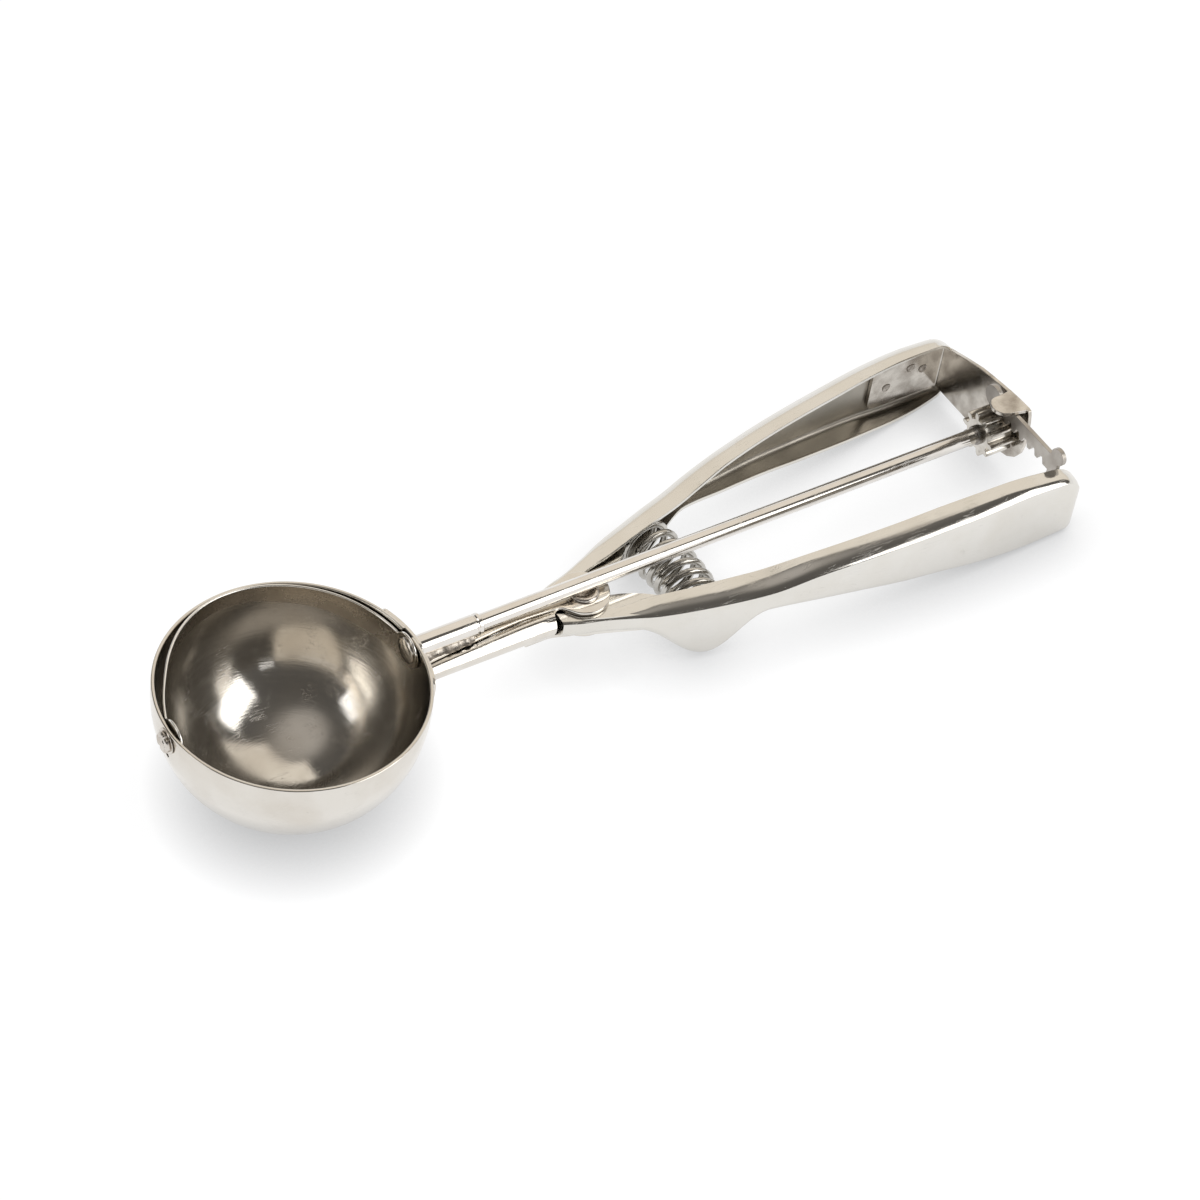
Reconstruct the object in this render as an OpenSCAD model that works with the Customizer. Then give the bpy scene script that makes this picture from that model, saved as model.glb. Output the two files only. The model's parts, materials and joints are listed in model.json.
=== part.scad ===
// Lever ice cream scoop: a hemispherical bowl on a folded shank, a fixed and a
// squeezed channel handle on one rivet, a coil spring between them, and a rack
// and pinion that turn a long spindle and its scraper band inside the bowl.
//
// Every module is written in tool coordinates: the origin is the centre of the
// bowl's sphere, +X runs along the spindle to the handle ends, +Z is the open
// side of the bowl, -Y is the squeezed handle.  The tool lies on a table: lay()
// tips it about Y until the bowl and both handles touch Z = 0.

/* [Bowl] */
// Outside diameter of the bowl
bowl_d = 56; // [50:1:62]
// Sheet thickness of the bowl
bowl_t = 0.8; // [0.6:0.1:1.2]
// Height of the straight wall above the spindle axis
rim_rise = 2.9; // [2.4:0.1:5]
// Width of the slot that lets the spindle in from the rim
notch_w = 3; // [2.4:0.1:3.4]
// Sideways offset of the slot from the spindle axis
notch_y = 1.8; // [1:0.1:2.4]
// Diameter of the drain hole under the tip pin
drain_d = 1.4; // [1:0.1:2]

/* [Scraper] */
// Sheet thickness of the scraper band
scraper_t = 0.5; // [0.4:0.1:0.8]
// Gap between the scraper band and the bowl
scraper_gap = 0.25; // [0.15:0.05:0.5]
// Width of the band at its middle
scraper_w = 5.2; // [4:0.2:6.4]
// Width of the band where it meets its end lugs
scraper_end_w = 6.1; // [5:0.1:7]
// Diameter of the end lugs
scraper_lug_d = 8; // [7.2:0.2:8.8]
// Height of the middle of the parked band above the spindle's level
band_rise = 2.1; // [1:0.1:2.6]
// How far the band bows upwards between its ends
band_bow = 3.1; // [2:0.1:4]

/* [Spindle] */
// Diameter of the spindle rod
rod_d = 3.5; // [3:0.1:3.6]
// Radial clearance of the rod in its bearings
run_gap = 0.05; // [0.03:0.01:0.09]
// Side of the square tenon that drives the scraper
tenon_w = 2.2; // [1.8:0.1:2.3]
// Outside diameter of the spindle sleeve
sleeve_d = 4.5; // [4.3:0.1:5]
// Length of the spindle sleeve behind the bowl
sleeve_len = 15.5; // [10:0.5:20]

/* [Tip pin] */
// Diameter of the pin that carries the scraper's front lug
tip_pin_d = 2.8; // [2:0.1:3.2]
// Diameter of the crimped head outside the bowl
tip_head_d = 4.6; // [4:0.2:5.4]
// Length of the crimped head
tip_head_len = 1; // [0.9:0.1:2.4]

/* [Shank] */
// Outside diameter of the rolled part of the shank
shank_d = 9; // [8:0.2:9.4]
// Sheet thickness of the shank
shank_t = 1; // [0.8:0.1:1.2]
// Width of the flat strip under the sleeve
strip_w = 7; // [6:0.2:8]
// Distance from the bowl's centre to the rivet
pivot_x = 69; // [64:0.5:76]
// Radius of the upper lug round the rivet
lug_r = 5.9; // [5.4:0.1:6.6]
// Radius of the lower lug round the rivet
low_lug_r = 5.3; // [5:0.1:6]

/* [Rivet] */
// Diameter of the pivot rivet
rivet_d = 4; // [3.4:0.1:5]
// Diameter of its heads
rivet_head_d = 6.6; // [6:0.1:7.4]
// Height of its upper head, under the spindle
rivet_head_h = 0.75; // [0.5:0.05:0.8]

/* [Handles] */
// Sheet thickness of the handles
handle_t = 0.95; // [0.8:0.05:1.1]
// Height of the channels at the pivot
handle_front_h = 5; // [4.8:0.1:6]
// How far the channels reach in front of the rivet
handle_nose = 7.7; // [7:0.1:9]
// How much further the squeezed handle reaches at the rear than the fixed one
squeeze_extra = 1; // [0:0.1:2]
// Radius of the upper outer corner
corner_top_r = 2.5; // [1.5:0.1:2.5]
// Radius of the lower outer corner
corner_low_r = 1.9; // [1.2:0.1:2.4]
// Radius of the end's upper corner, seen from the side
end_top_r = 6; // [4:0.5:7]
// Radius of the end's lower corner, seen from the side
end_low_r = 2.4; // [1.5:0.1:4]
// Radius of the ears round the rivet
ear_r = 3.7; // [3.4:0.05:3.8]
// Depth of the finger stop under each handle
stop_drop = 9.5; // [6:0.5:9.5]
// Length of the finger stop's front slope
stop_front = 15.5; // [13:0.5:17]
// Length of the finger stop's rear slope
stop_rear = 12.7; // [10:0.5:15]

/* [Spring] */
// Outside diameter of the coil spring
spring_d = 12; // [10:0.2:12.4]
// Wire diameter of the coil spring
wire_d = 1.4; // [1.1:0.1:1.6]
// Number of turns
spring_turns = 9; // [7:1:11]
// Distance from the rivet to the middle of the spring
spring_reach = 24.5; // [23:0.5:26]

/* [Rack and pinion] */
// Distance from the rivet to the middle of the rack strip
rack_r = 106; // [98:0.2:112]
// Number of pinion teeth
pinion_teeth = 10; // [10:1:12]
// Module of the teeth
tooth_module = 0.9; // [0.8:0.05:0.95]
// Backlash between the teeth at the pitch line
backlash = 0.34; // [0.3:0.02:0.4]
// Length of the pinion
pinion_len = 6.6; // [6.2:0.1:7.6]
// Travel of the squeezed handle, degrees
squeeze = 6.5; // [5:0.1:6.8]
// Thickness of the rack strip
rack_t = 1; // [0.8:0.1:1.2]
// Thickness of the bracket strap
strap_t = 0.95; // [0.8:0.05:1.2]
// Radius of the bracket's round end about the spindle
boss_r = 7.4; // [6:0.1:8]
// Gap between the rack's upper edge and the guide tab
guide_gap = 0.15; // [0.1:0.05:0.4]

/* [Hidden] */
$fn = 64;

// ---- derived sizes: bowl, scraper, spindle ---------------------------------
bowl_r = bowl_d / 2;
bowl_in_r = bowl_r - bowl_t;
rod_r = rod_d / 2;
scraper_out_r = bowl_in_r - scraper_gap;
scraper_in_r = scraper_out_r - scraper_t;
rod_head_h = 0.7;
rod_head_r = tenon_w * 0.5 * sqrt(2) + 0.35;
tip_head_r = tip_head_d / 2;
tip_washer_t = 0.3;
tip_end_x = bowl_r + tip_washer_t + tip_head_len;

// ---- derived sizes: shank and clevis, all heights from the rod's axis -----
strip_low = 0.45;
strip_z = -sleeve_d / 2;
lug_z = strip_z - strip_low;
clevis_gap = 0.05;
handle_z = lug_z - shank_t - clevis_gap;
handle_low_z = handle_z - handle_front_h;
low_lug_z = handle_low_z - clevis_gap;
tube_r = shank_d / 2;
tube_z = low_lug_z - shank_t + tube_r - 0.1;
tube_end_x = pivot_x - handle_nose - 0.8;
rivet_r = rivet_d / 2;
bore_gap = run_gap;
ear_gap = 0.2;
ear_foot = 0.2;
ear_set = 0.8;
washer_t = 0.5;
tongue_w = 1.24 * tube_r;

// ---- derived sizes: rack, pinion, bracket and handle end -------------------
rack_x = pivot_x + rack_r;
pitch_r = tooth_module * pinion_teeth / 2;
tooth_top = 0.85 * tooth_module;
rack_tip = 0.55 * tooth_module;
tip_gap = 0.25;
pinion_out_r = pitch_r + tooth_top;
pinion_root_r = pitch_r - rack_tip - tip_gap;
rack_tip_z = pitch_r - rack_tip;
rack_root_z = pinion_out_r + tip_gap;
rack_web = 3;
rack_top_z = rack_root_z + rack_web;
pinion_x = rack_x - 5;
pinion_back_x = pinion_x + pinion_len;
plate_gap = 0.45;
plate_x = pinion_back_x + plate_gap;
plate_back_x = plate_x + strap_t;
end_gap = 0.25;
fixed_end_x = plate_back_x + end_gap + handle_t;
squeeze_end_x = fixed_end_x + squeeze_extra;
handle_len = squeeze_end_x - pivot_x;
tab_z = rack_top_z + guide_gap;
tab_far_y = -0.3;
tab_near_y = -6;
tab_len = 6.2;
tab_tip_r = 2.4;
tab_root = 1.8;
stop_gap = 0.12;
// Clearance between a leg and the side wall that it is welded to
seat_gap = 0.05;
// Turning carries the flat strip along the pinion by the tangent of the angle
squeeze_travel = rack_r * tan(squeeze);
ratio = squeeze_travel / (pitch_r * squeeze * PI / 180);

// ---- handle outline: values at fractions of the length behind the rivet ----
// Half width over the outer faces
outer_pts = [[-0.1, 3.6], [-0.045, 6.1], [0, 7.5], [0.05, 9.6], [0.1, 11.9], [0.2, 15.2],
             [0.3, 17.9], [0.4, 19.5], [0.6, 22.3], [0.8, 24.4], [1.02, 25.1]];
// Width of the upper flange
top_flange_pts = [[-0.1, 3.2], [0.03, 3.2], [0.14, 4.6], [0.3, 5.2],
                  [0.5, 4.3], [0.8, 4.4], [1.02, 3.5]];
// Width of the lower flange
low_flange_pts = [[-0.1, 3.1], [0.1, 3.1], [0.25, 3], [0.42, 4.8],
                  [0.72, 6.4], [0.9, 4.9], [1.02, 2.2]];
// Rise of the upper edge from its height at the rivet
rise_pts = [[-0.1, 0], [0.04, 0], [0.12, 1.1], [0.2, 1.9], [0.3, 3.1],
            [0.42, 6], [0.6, 8.7], [0.82, 11.2], [0.92, 10.8], [1.02, 9.2]];
// Fall of the lower edge from its height at the rivet, without the finger stop
fall_pts = [[-0.1, 0], [0.3, 0], [0.5, 0.7], [0.7, 1.6], [0.86, 2.25], [1.02, 1.8]];

// ---- functions -------------------------------------------------------------
// Slope of the curve through rows p at row i
function slope(p, i) =
  let (a = max(i - 1, 0), b = min(i + 1, len(p) - 1))
  (p[b][1] - p[a][1]) / (p[b][0] - p[a][0]);

// Cubic curve through rows [position, value], evaluated at s
function curve(p, s, i = 0) =
  i < len(p) - 2 && s > p[i + 1][0] ? curve(p, s, i + 1)
  : let (w = p[i + 1][0] - p[i][0], u = (s - p[i][0]) / w,
         m0 = slope(p, i) * w, m1 = slope(p, i + 1) * w)
    p[i][1] * (1 + 2 * u) * (1 - u) * (1 - u) + m0 * u * (1 - u) * (1 - u)
    + p[i + 1][1] * u * u * (3 - 2 * u) - m1 * u * u * (1 - u);

// Amount by which a corner of radius r pulls a face back at a distance d from it
function round_in(r, d) = d >= r || r <= 0 ? 0 : r - sqrt(max(0, r * r - (r - d) * (r - d)));

// Depth of the finger stop at x: one half of a squared cosine on each slope
stop_x = pivot_x + spring_reach - 1.5;
function stop_at(x) =
  let (d = x - stop_x, a = 90 * d / (d < 0 ? stop_front : stop_rear))
  abs(a) >= 90 ? 0 : stop_drop * cos(a) * cos(a);

function frac(x) = (x - pivot_x) / handle_len;
function outer_y(x) = curve(outer_pts, frac(x));
function top_z(x) = handle_z + curve(rise_pts, frac(x));
function low_z(x) = handle_low_z - curve(fall_pts, frac(x)) - stop_at(x);
function top_lip_y(x) = outer_y(x) - curve(top_flange_pts, frac(x));
function low_lip_y(x) = outer_y(x) - curve(low_flange_pts, frac(x));

// One cross-section of the skin of a handle that ends at end_x, set back from the
// outer face by off
function arc_pts(x, cy, cz, r, a0, a1, n) =
  [for (k = [0:n]) let (a = a0 + (a1 - a0) * k / n) [x, cy + r * cos(a), cz + r * sin(a)]];
function section(x, off, end_x) =
  let (d = end_x - off - x,
       y = outer_y(x) - off - round_in(corner_top_r - off, d),
       zt = top_z(x) - off - round_in(end_top_r - off, d),
       zb = low_z(x) + off + round_in(end_low_r - off, d),
       rt = corner_top_r - off,
       rb = corner_low_r - off)
  concat([[x, top_lip_y(x), zt]],
         arc_pts(x, y - rt, zt - rt, rt, 90, 0, corner_steps),
         arc_pts(x, y - rb, zb + rb, rb, 0, -90, corner_steps),
         [[x, low_lip_y(x), zb]]);

// Stations along a handle: even steps, then closer ones round the end
corner_steps = 4;
body_steps = 44;
end_steps = 7;
function stations(end_x, off = 0) =
  let (x0 = pivot_x - handle_nose, x1 = end_x - end_top_r)
  concat([for (k = [0:body_steps - 1]) x0 + (x1 - x0) * k / body_steps],
         [for (k = [0:end_steps]) x1 + (end_top_r - off) * sin(90 * k / end_steps)]);

// ---- attitude on the table -------------------------------------------------
// Tilt at which the bowl and the handle point (x, z) both touch the table
function rest_angle(x, z) = asin(bowl_r / norm([x, z])) - atan2(-z, x);
long_skin = [for (x = stations(squeeze_end_x)) section(x, 0, squeeze_end_x)];
tilt = min([for (s = long_skin) let (p = s[2 * corner_steps + 3]) rest_angle(p[0], p[2])]);
front_x = -tip_end_x * cos(tilt) - tip_head_r * sin(tilt);
back_x = max([for (s = long_skin) for (p = s) p[0] * cos(tilt) + p[2] * sin(tilt)]);
middle_x = (front_x + back_x) / 2;

module lay() {
  translate([-middle_x, 0, bowl_r]) rotate([0, tilt, 0]) children();
}

// ---- helpers ---------------------------------------------------------------
// Cylinder along +X from x0 to x1
module bar(x0, x1, r) {
  translate([x0, 0, 0]) rotate([0, 90, 0]) cylinder(r = r, h = x1 - x0);
}

// Flat shape drawn in (x, z) and given a width about y
module side_plate(y, w) {
  translate([0, y + w / 2, 0]) rotate([90, 0, 0]) linear_extrude(height = w) children();
}

// Flat shape drawn in (y, z) and given a thickness from x0
module cross_plate(x0, t) {
  translate([x0, 0, 0]) rotate([90, 0, 90]) linear_extrude(height = t) children();
}

module at_pivot() {
  translate([pivot_x, 0, 0]) children();
}

// ---- bowl ------------------------------------------------------------------
module half_disc(r, rise) {
  intersection() {
    circle(r);
    translate([0, -r]) square([r, r]);
  }
  square([r, rise]);
}

module bowl() {
  color([0.78, 0.76, 0.73]) lay() difference() {
    rotate_extrude() difference() {
      half_disc(bowl_r, rim_rise);
      half_disc(bowl_in_r, rim_rise + 1);
    }
    // spindle hole and the slot that reaches it from the rim
    bar(bowl_in_r - 3, bowl_r + 1, rod_r + 0.15);
    translate([bowl_in_r - 3, notch_y - notch_w / 2, 0]) cube([bowl_t + 5, notch_w, rim_rise + 1]);
    // tip pin hole and the drain hole under it
    bar(-bowl_r - 1, -bowl_in_r + 3, tip_pin_d / 2);
    rotate([0, -6, 0]) translate([0, 0, -1.2]) bar(-bowl_r - 1, -bowl_in_r + 1, drain_d / 2);
  }
}

// ---- scraper ---------------------------------------------------------------
// Radius of an arc that drops by sag over half a chord
function arc_r(half_chord, sag) = (half_chord * half_chord + sag * sag) / (2 * sag);

// Band outline seen square on: the strip between two arcs that bow upwards
module band_outline() {
  top_mid = band_rise + scraper_w / 2;
  low_mid = band_rise - scraper_w / 2;
  top_r = arc_r(scraper_out_r, band_bow + (scraper_w - scraper_end_w) / 2);
  low_r = arc_r(scraper_out_r, band_bow + (scraper_end_w - scraper_w) / 2);
  difference() {
    translate([0, top_mid - top_r]) circle(top_r, $fn = 360);
    translate([0, low_mid - low_r]) circle(low_r, $fn = 360);
    translate([-top_r, low_mid - 2 * low_r - scraper_lug_d]) square([2 * top_r, 2 * low_r]);
  }
}

module scraper() {
  color([0.62, 0.6, 0.57]) lay() difference() {
    intersection() {
      rotate([0, 0, -90]) difference() {
        sphere(scraper_out_r, $fn = 128);
        sphere(scraper_in_r, $fn = 128);
      }
      union() {
        rotate([90, 0, 0]) translate([0, 0, -bowl_d]) linear_extrude(height = bowl_d) band_outline();
        bar(-bowl_d, bowl_d, scraper_lug_d / 2);
      }
    }
    translate([0, -tenon_w / 2, -tenon_w / 2]) cube([bowl_d, tenon_w, tenon_w]);
    bar(-bowl_d, 0, tip_pin_d / 2 + run_gap);
  }
}

// ---- spindle ---------------------------------------------------------------
module spindle_rod() {
  color([0.74, 0.72, 0.69]) lay() {
    bar(scraper_out_r + 0.05, plate_back_x + 2.2, rod_r);
    translate([scraper_in_r - rod_head_h, -tenon_w / 2, -tenon_w / 2])
      cube([scraper_t + rod_head_h + 1, tenon_w, tenon_w]);
    bar(scraper_in_r - rod_head_h - 0.1, scraper_in_r - 0.12, rod_head_r);
  }
}

module rod_clip() {
  clip_t = 0.6;
  gap_w = 1.5 * rod_r;
  color([0.4, 0.39, 0.38]) lay() translate([plate_back_x + 0.35, 0, 0]) rotate([0, 90, 0])
    difference() {
      cylinder(r = rod_r + 1.5, h = clip_t);
      translate([0, 0, -1]) cylinder(r = rod_r, h = clip_t + 2);
      translate([-gap_w / 2, 0, -1]) cube([gap_w, rod_r + 3, clip_t + 2]);
    }
}

module spindle_sleeve() {
  color([0.76, 0.74, 0.71]) lay() difference() {
    bar(bowl_r + 0.05, bowl_r + sleeve_len, sleeve_d / 2);
    bar(bowl_r - 1, bowl_r + sleeve_len + 1, rod_r + run_gap);
  }
}

// Braze fillets that fix the sleeve to the flat strip, one on each side
module sleeve_braze() {
  leg = 1.1;
  color([0.55, 0.53, 0.5]) lay() for (side = [-1, 1]) difference() {
    translate([bowl_r + 2, 0, 0]) rotate([90, 0, 90]) linear_extrude(height = sleeve_len - 4)
      polygon([[side * 0.2, strip_z],
               [side * (sleeve_d / 2 + leg), strip_z],
               [side * sleeve_d / 2 * 0.9, strip_z + leg * 1.3]]);
    bar(bowl_r, bowl_r + sleeve_len, sleeve_d / 2);
  }
}

// ---- tip pin ---------------------------------------------------------------
module tip_pin() {
  notch = 0.9;
  color([0.7, 0.69, 0.67]) lay() {
    bar(-bowl_r - tip_washer_t, -scraper_in_r + 0.3, tip_pin_d / 2);
    bar(-scraper_in_r + 0.12, -scraper_in_r + 0.8, tip_pin_d / 2 + 0.8);
    difference() {
      bar(-tip_end_x, -bowl_r - tip_washer_t, tip_head_r);
      for (a = [0:90:270]) rotate([a + 45, 0, 0])
        translate([-tip_end_x - 1, tip_head_r - 0.75, -notch / 2]) cube([tip_head_len, 2, notch]);
      bar(-tip_end_x - 1, -tip_end_x + 0.8, tip_pin_d / 2 - 0.5);
    }
  }
}

module tip_washer() {
  color([0.6, 0.59, 0.57]) lay() difference() {
    bar(-bowl_r - tip_washer_t, -bowl_r, tip_head_r + 0.5);
    bar(-bowl_r - 1, -bowl_r + 1, tip_pin_d / 2);
  }
}

// ---- shank -----------------------------------------------------------------
// Side view of the flat strip: level under the sleeve, a little lower at the rivet
module strip_side() {
  x0 = bowl_r - 8;
  x1 = bowl_r + sleeve_len + 3;
  x2 = pivot_x - lug_r - 4;
  x3 = pivot_x + lug_r + 1;
  polygon([[x0, strip_z], [x1, strip_z], [x2, lug_z], [x3, lug_z],
           [x3, lug_z - shank_t], [x2, lug_z - shank_t],
           [x1, strip_z - shank_t], [x0, strip_z - shank_t]]);
}

module strip_plan() {
  translate([0, -strip_w / 2]) square([pivot_x, strip_w]);
  translate([pivot_x, 0]) circle(lug_r);
  hull() {
    translate([pivot_x - lug_r * 1.6, -strip_w / 2]) square([0.1, strip_w], $fn = 32);
    translate([pivot_x - 1, 0]) circle(lug_r - 0.2, $fn = 32);
  }
}

module shank() {
  color([0.8, 0.78, 0.74]) lay() difference() {
    union() {
      intersection() {
        side_plate(0, 4 * lug_r) strip_side();
        translate([0, 0, -bowl_r]) linear_extrude(height = bowl_r) strip_plan();
      }
      // rolled body under the strip
      difference() {
        translate([0, 0, tube_z]) bar(bowl_in_r - 6, tube_end_x, tube_r);
        translate([0, 0, tube_z]) bar(bowl_in_r - 7, tube_end_x + 1, tube_r - shank_t);
        side_plate(0, 4 * tube_r) polygon([
          [0, strip_z - shank_t / 2],
          [bowl_r + sleeve_len + 3, strip_z - shank_t / 2],
          [tube_end_x - 2, lug_z - shank_t / 2],
          [tube_end_x + 1, lug_z - shank_t / 2],
          [tube_end_x + 1, 1],
          [0, 1]
        ]);
      }
      // lower lug
      translate([0, 0, low_lug_z - shank_t]) linear_extrude(height = shank_t) {
        translate([pivot_x, 0]) circle(low_lug_r);
        translate([pivot_x - lug_r * 0.65, 0]) circle(low_lug_r * 0.92);
        translate([tube_end_x - 8, -tongue_w / 2]) square([7 + lug_r, tongue_w]);
      }
    }
    sphere(bowl_r);
    at_pivot() translate([0, 0, low_lug_z - 2 * shank_t])
      cylinder(r = rivet_r, h = handle_front_h + 5 * shank_t);
  }
}

// Weld bead between the bowl and the shank
module shank_weld() {
  bead = 0.7;
  color([0.66, 0.64, 0.6]) lay() difference() {
    translate([0, 0, tube_z]) bar(bowl_in_r - 2, bowl_r + 0.35, tube_r + bead);
    translate([0, 0, tube_z]) bar(bowl_in_r - 3, bowl_r + 1, tube_r);
    sphere(bowl_r, $fn = 256);
    translate([0, -bowl_r, strip_z - shank_t]) cube([bowl_d, bowl_d, bowl_r]);
  }
}

// ---- pivot -----------------------------------------------------------------
module pivot_rivet() {
  head_r = rivet_head_d / 2;
  low_z0 = low_lug_z - shank_t - washer_t;
  color([0.68, 0.66, 0.63]) lay() at_pivot() {
    translate([0, 0, low_z0 - 0.3]) cylinder(r = rivet_r, h = lug_z - low_z0 + 0.5);
    // domed head with a dished middle
    difference() {
      translate([0, 0, lug_z]) cylinder(r1 = head_r, r2 = head_r - 0.6, h = rivet_head_h);
      translate([0, 0, lug_z + rivet_head_h - 0.35]) cylinder(r1 = 1.2, r2 = 1.9, h = 0.4);
    }
    translate([0, 0, low_z0 - 0.8]) cylinder(r1 = head_r - 0.7, r2 = head_r, h = 0.8);
  }
}

module rivet_washer() {
  color([0.6, 0.58, 0.56]) lay() at_pivot() translate([0, 0, low_lug_z - shank_t - washer_t])
    difference() {
      cylinder(r = rivet_head_d / 2 + 0.7, h = washer_t);
      translate([0, 0, -1]) cylinder(r = rivet_r, h = washer_t + 2);
    }
}

// ---- handles ---------------------------------------------------------------
// Pressed tray with a closed end: outer skin, inner skin and the strips that join them.
// It is drawn on the +Y side and ends at end_x.
module tray(end_x) {
  out = [for (x = stations(end_x)) section(x, 0, end_x)];
  in = [for (x = stations(end_x, handle_t)) section(x, handle_t, end_x)];
  n = len(out);
  m = len(out[0]);
  pts = [for (s = concat(out, in)) for (p = s) p];
  o = n * m;
  skin_out = [for (i = [0:n - 2]) for (j = [0:m - 2]) each
    [[i * m + j, i * m + j + 1, (i + 1) * m + j + 1],
     [i * m + j, (i + 1) * m + j + 1, (i + 1) * m + j]]];
  skin_in = [for (i = [0:n - 2]) for (j = [0:m - 2]) each
    [[o + i * m + j, o + (i + 1) * m + j + 1, o + i * m + j + 1],
     [o + i * m + j, o + (i + 1) * m + j, o + (i + 1) * m + j + 1]]];
  lip_top = [for (i = [0:n - 2]) each
    [[i * m, (i + 1) * m, o + (i + 1) * m], [i * m, o + (i + 1) * m, o + i * m]]];
  lip_low = [for (i = [0:n - 2]) each
    [[i * m + m - 1, o + (i + 1) * m + m - 1, (i + 1) * m + m - 1],
     [i * m + m - 1, o + i * m + m - 1, o + (i + 1) * m + m - 1]]];
  nose = [for (j = [0:m - 2]) each [[j, o + j + 1, j + 1], [j, o + j, o + j + 1]]];
  e = (n - 1) * m;
  cap_out = [for (j = [1:m - 2]) [e, e + j, e + j + 1]];
  cap_in = [for (j = [1:m - 2]) [o + e, o + e + j + 1, o + e + j]];
  lip_end = [[e, e + m - 1, o + e + m - 1], [e, o + e + m - 1, o + e]];
  polyhedron(points = pts, convexity = 6,
    faces = concat(skin_out, skin_in, lip_top, lip_low, nose, cap_out, cap_in, lip_end));
}

// Ear that carries a handle on the rivet, from z upwards; its foot reaches into the
// flange or the side wall, up to the distance set_in from the outer face
module ear(z, set_in) {
  x0 = pivot_x - ear_r;
  x1 = pivot_x + ear_r;
  translate([0, 0, z]) linear_extrude(height = handle_t - ear_gap) {
    translate([pivot_x, 0]) circle(ear_r);
    polygon([[x0, 0], [x0, outer_y(x0) - set_in], [x1, outer_y(x1) - set_in], [x1, 0]]);
  }
}

module rivet_bore() {
  at_pivot() translate([0, 0, handle_low_z - 1]) cylinder(r = rivet_r + bore_gap, h = handle_front_h + 2);
}

// The fixed handle's ears lie inside those of the squeezed one
module fixed_handle() {
  color([0.84, 0.82, 0.78]) lay() difference() {
    union() {
      tray(fixed_end_x);
      ear(handle_z - 2 * handle_t, handle_t * ear_set);
      ear(handle_low_z + handle_t + ear_gap, handle_t * ear_set);
    }
    rivet_bore();
  }
}

module squeeze_handle() {
  color([0.84, 0.82, 0.78]) lay() mirror([0, 1, 0]) difference() {
    union() {
      tray(squeeze_end_x);
      ear(handle_z - handle_t + ear_gap / 2, corner_top_r + ear_foot);
      ear(handle_low_z + ear_gap / 2, corner_low_r + ear_foot);
    }
    rivet_bore();
  }
}

// ---- spring ----------------------------------------------------------------
// Coil whose centre line is an arc square to both side walls, so that each end turn
// lies flat against its wall
spring_x = pivot_x + spring_reach;
spring_z = (top_z(stop_x) + low_z(stop_x)) / 2 + 0.6;
coil_r = (spring_d - wire_d) / 2;
wall_gap = 0.15;
wall_x = spring_x - 2;
wall_slope = (outer_y(wall_x + 4) - outer_y(wall_x - 4)) / 8;
bend_x = wall_x - (outer_y(wall_x) - handle_t) / wall_slope;
bend_r = spring_x - bend_x;
spring_half = atan(wall_slope) - asin((wire_d / 2 + wall_gap) / bend_r);
turn_steps = 16;
wire_sides = 8;
function coil_frame(k) =
  let (u = k / (spring_turns * turn_steps),
       a = -spring_half + 2 * spring_half * u,
       w = 360 * k / turn_steps,
       radial = [cos(a), sin(a), 0],
       along = [-sin(a), cos(a), 0],
       out = radial * cos(w) + [0, 0, 1] * sin(w))
  [[bend_x, 0, spring_z] + radial * bend_r + out * coil_r, out, along];

module return_spring() {
  rings = spring_turns * turn_steps;
  pts = [for (k = [0:rings]) let (f = coil_frame(k)) for (s = [0:wire_sides - 1])
    let (a = 360 * s / wire_sides) f[0] + (f[1] * cos(a) + f[2] * sin(a)) * wire_d / 2];
  w = wire_sides;
  skin = [for (k = [0:rings - 1]) for (s = [0:w - 1]) let (t = (s + 1) % w) each
    [[k * w + s, (k + 1) * w + t, k * w + t], [k * w + s, (k + 1) * w + s, (k + 1) * w + t]]];
  cap_a = [for (s = [1:w - 2]) [0, s, s + 1]];
  cap_b = [for (s = [1:w - 2]) [rings * w, rings * w + s + 1, rings * w + s]];
  color([0.56, 0.55, 0.54]) lay()
    polyhedron(points = pts, faces = concat(skin, cap_a, cap_b), convexity = 10);
}

// ---- pinion ----------------------------------------------------------------
// Involute flank points from the root to the tip, for a 20 degree pressure angle
base_r = pitch_r * cos(20);
flank_steps = 5;
function inv_angle(r) = r <= base_r ? 0 : let (a = acos(base_r / r)) tan(a) * 180 / PI - a;
half_tooth = 90 / pinion_teeth - backlash / 2 / (2 * pitch_r) * 180 / PI;
function flank(side) = [for (k = [0:flank_steps])
  let (r = k == 0 ? pinion_root_r : base_r + (pinion_out_r - base_r) * (k - 1) / (flank_steps - 1),
       a = half_tooth + inv_angle(pitch_r) - inv_angle(r))
  [r, side * a]];
function reversed(v) = [for (k = [len(v) - 1:-1:0]) v[k]];

module pinion_section() {
  teeth = [for (n = [0:pinion_teeth - 1]) let (c = 90 + (n + 0.5) * 360 / pinion_teeth)
    for (f = concat(flank(-1), reversed(flank(1)))) [f[0] * cos(c + f[1]), f[0] * sin(c + f[1])]];
  difference() {
    polygon(teeth);
    circle(rod_r);
  }
}

module pinion() {
  color([0.7, 0.68, 0.65]) lay() cross_plate(pinion_x, pinion_len) pinion_section();
}

module pinion_collar() {
  color([0.45, 0.44, 0.43]) lay() difference() {
    bar(pinion_x - 0.9, pinion_x, rod_r + 0.75);
    bar(pinion_x - 2, pinion_x + 1, rod_r);
  }
}

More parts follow.
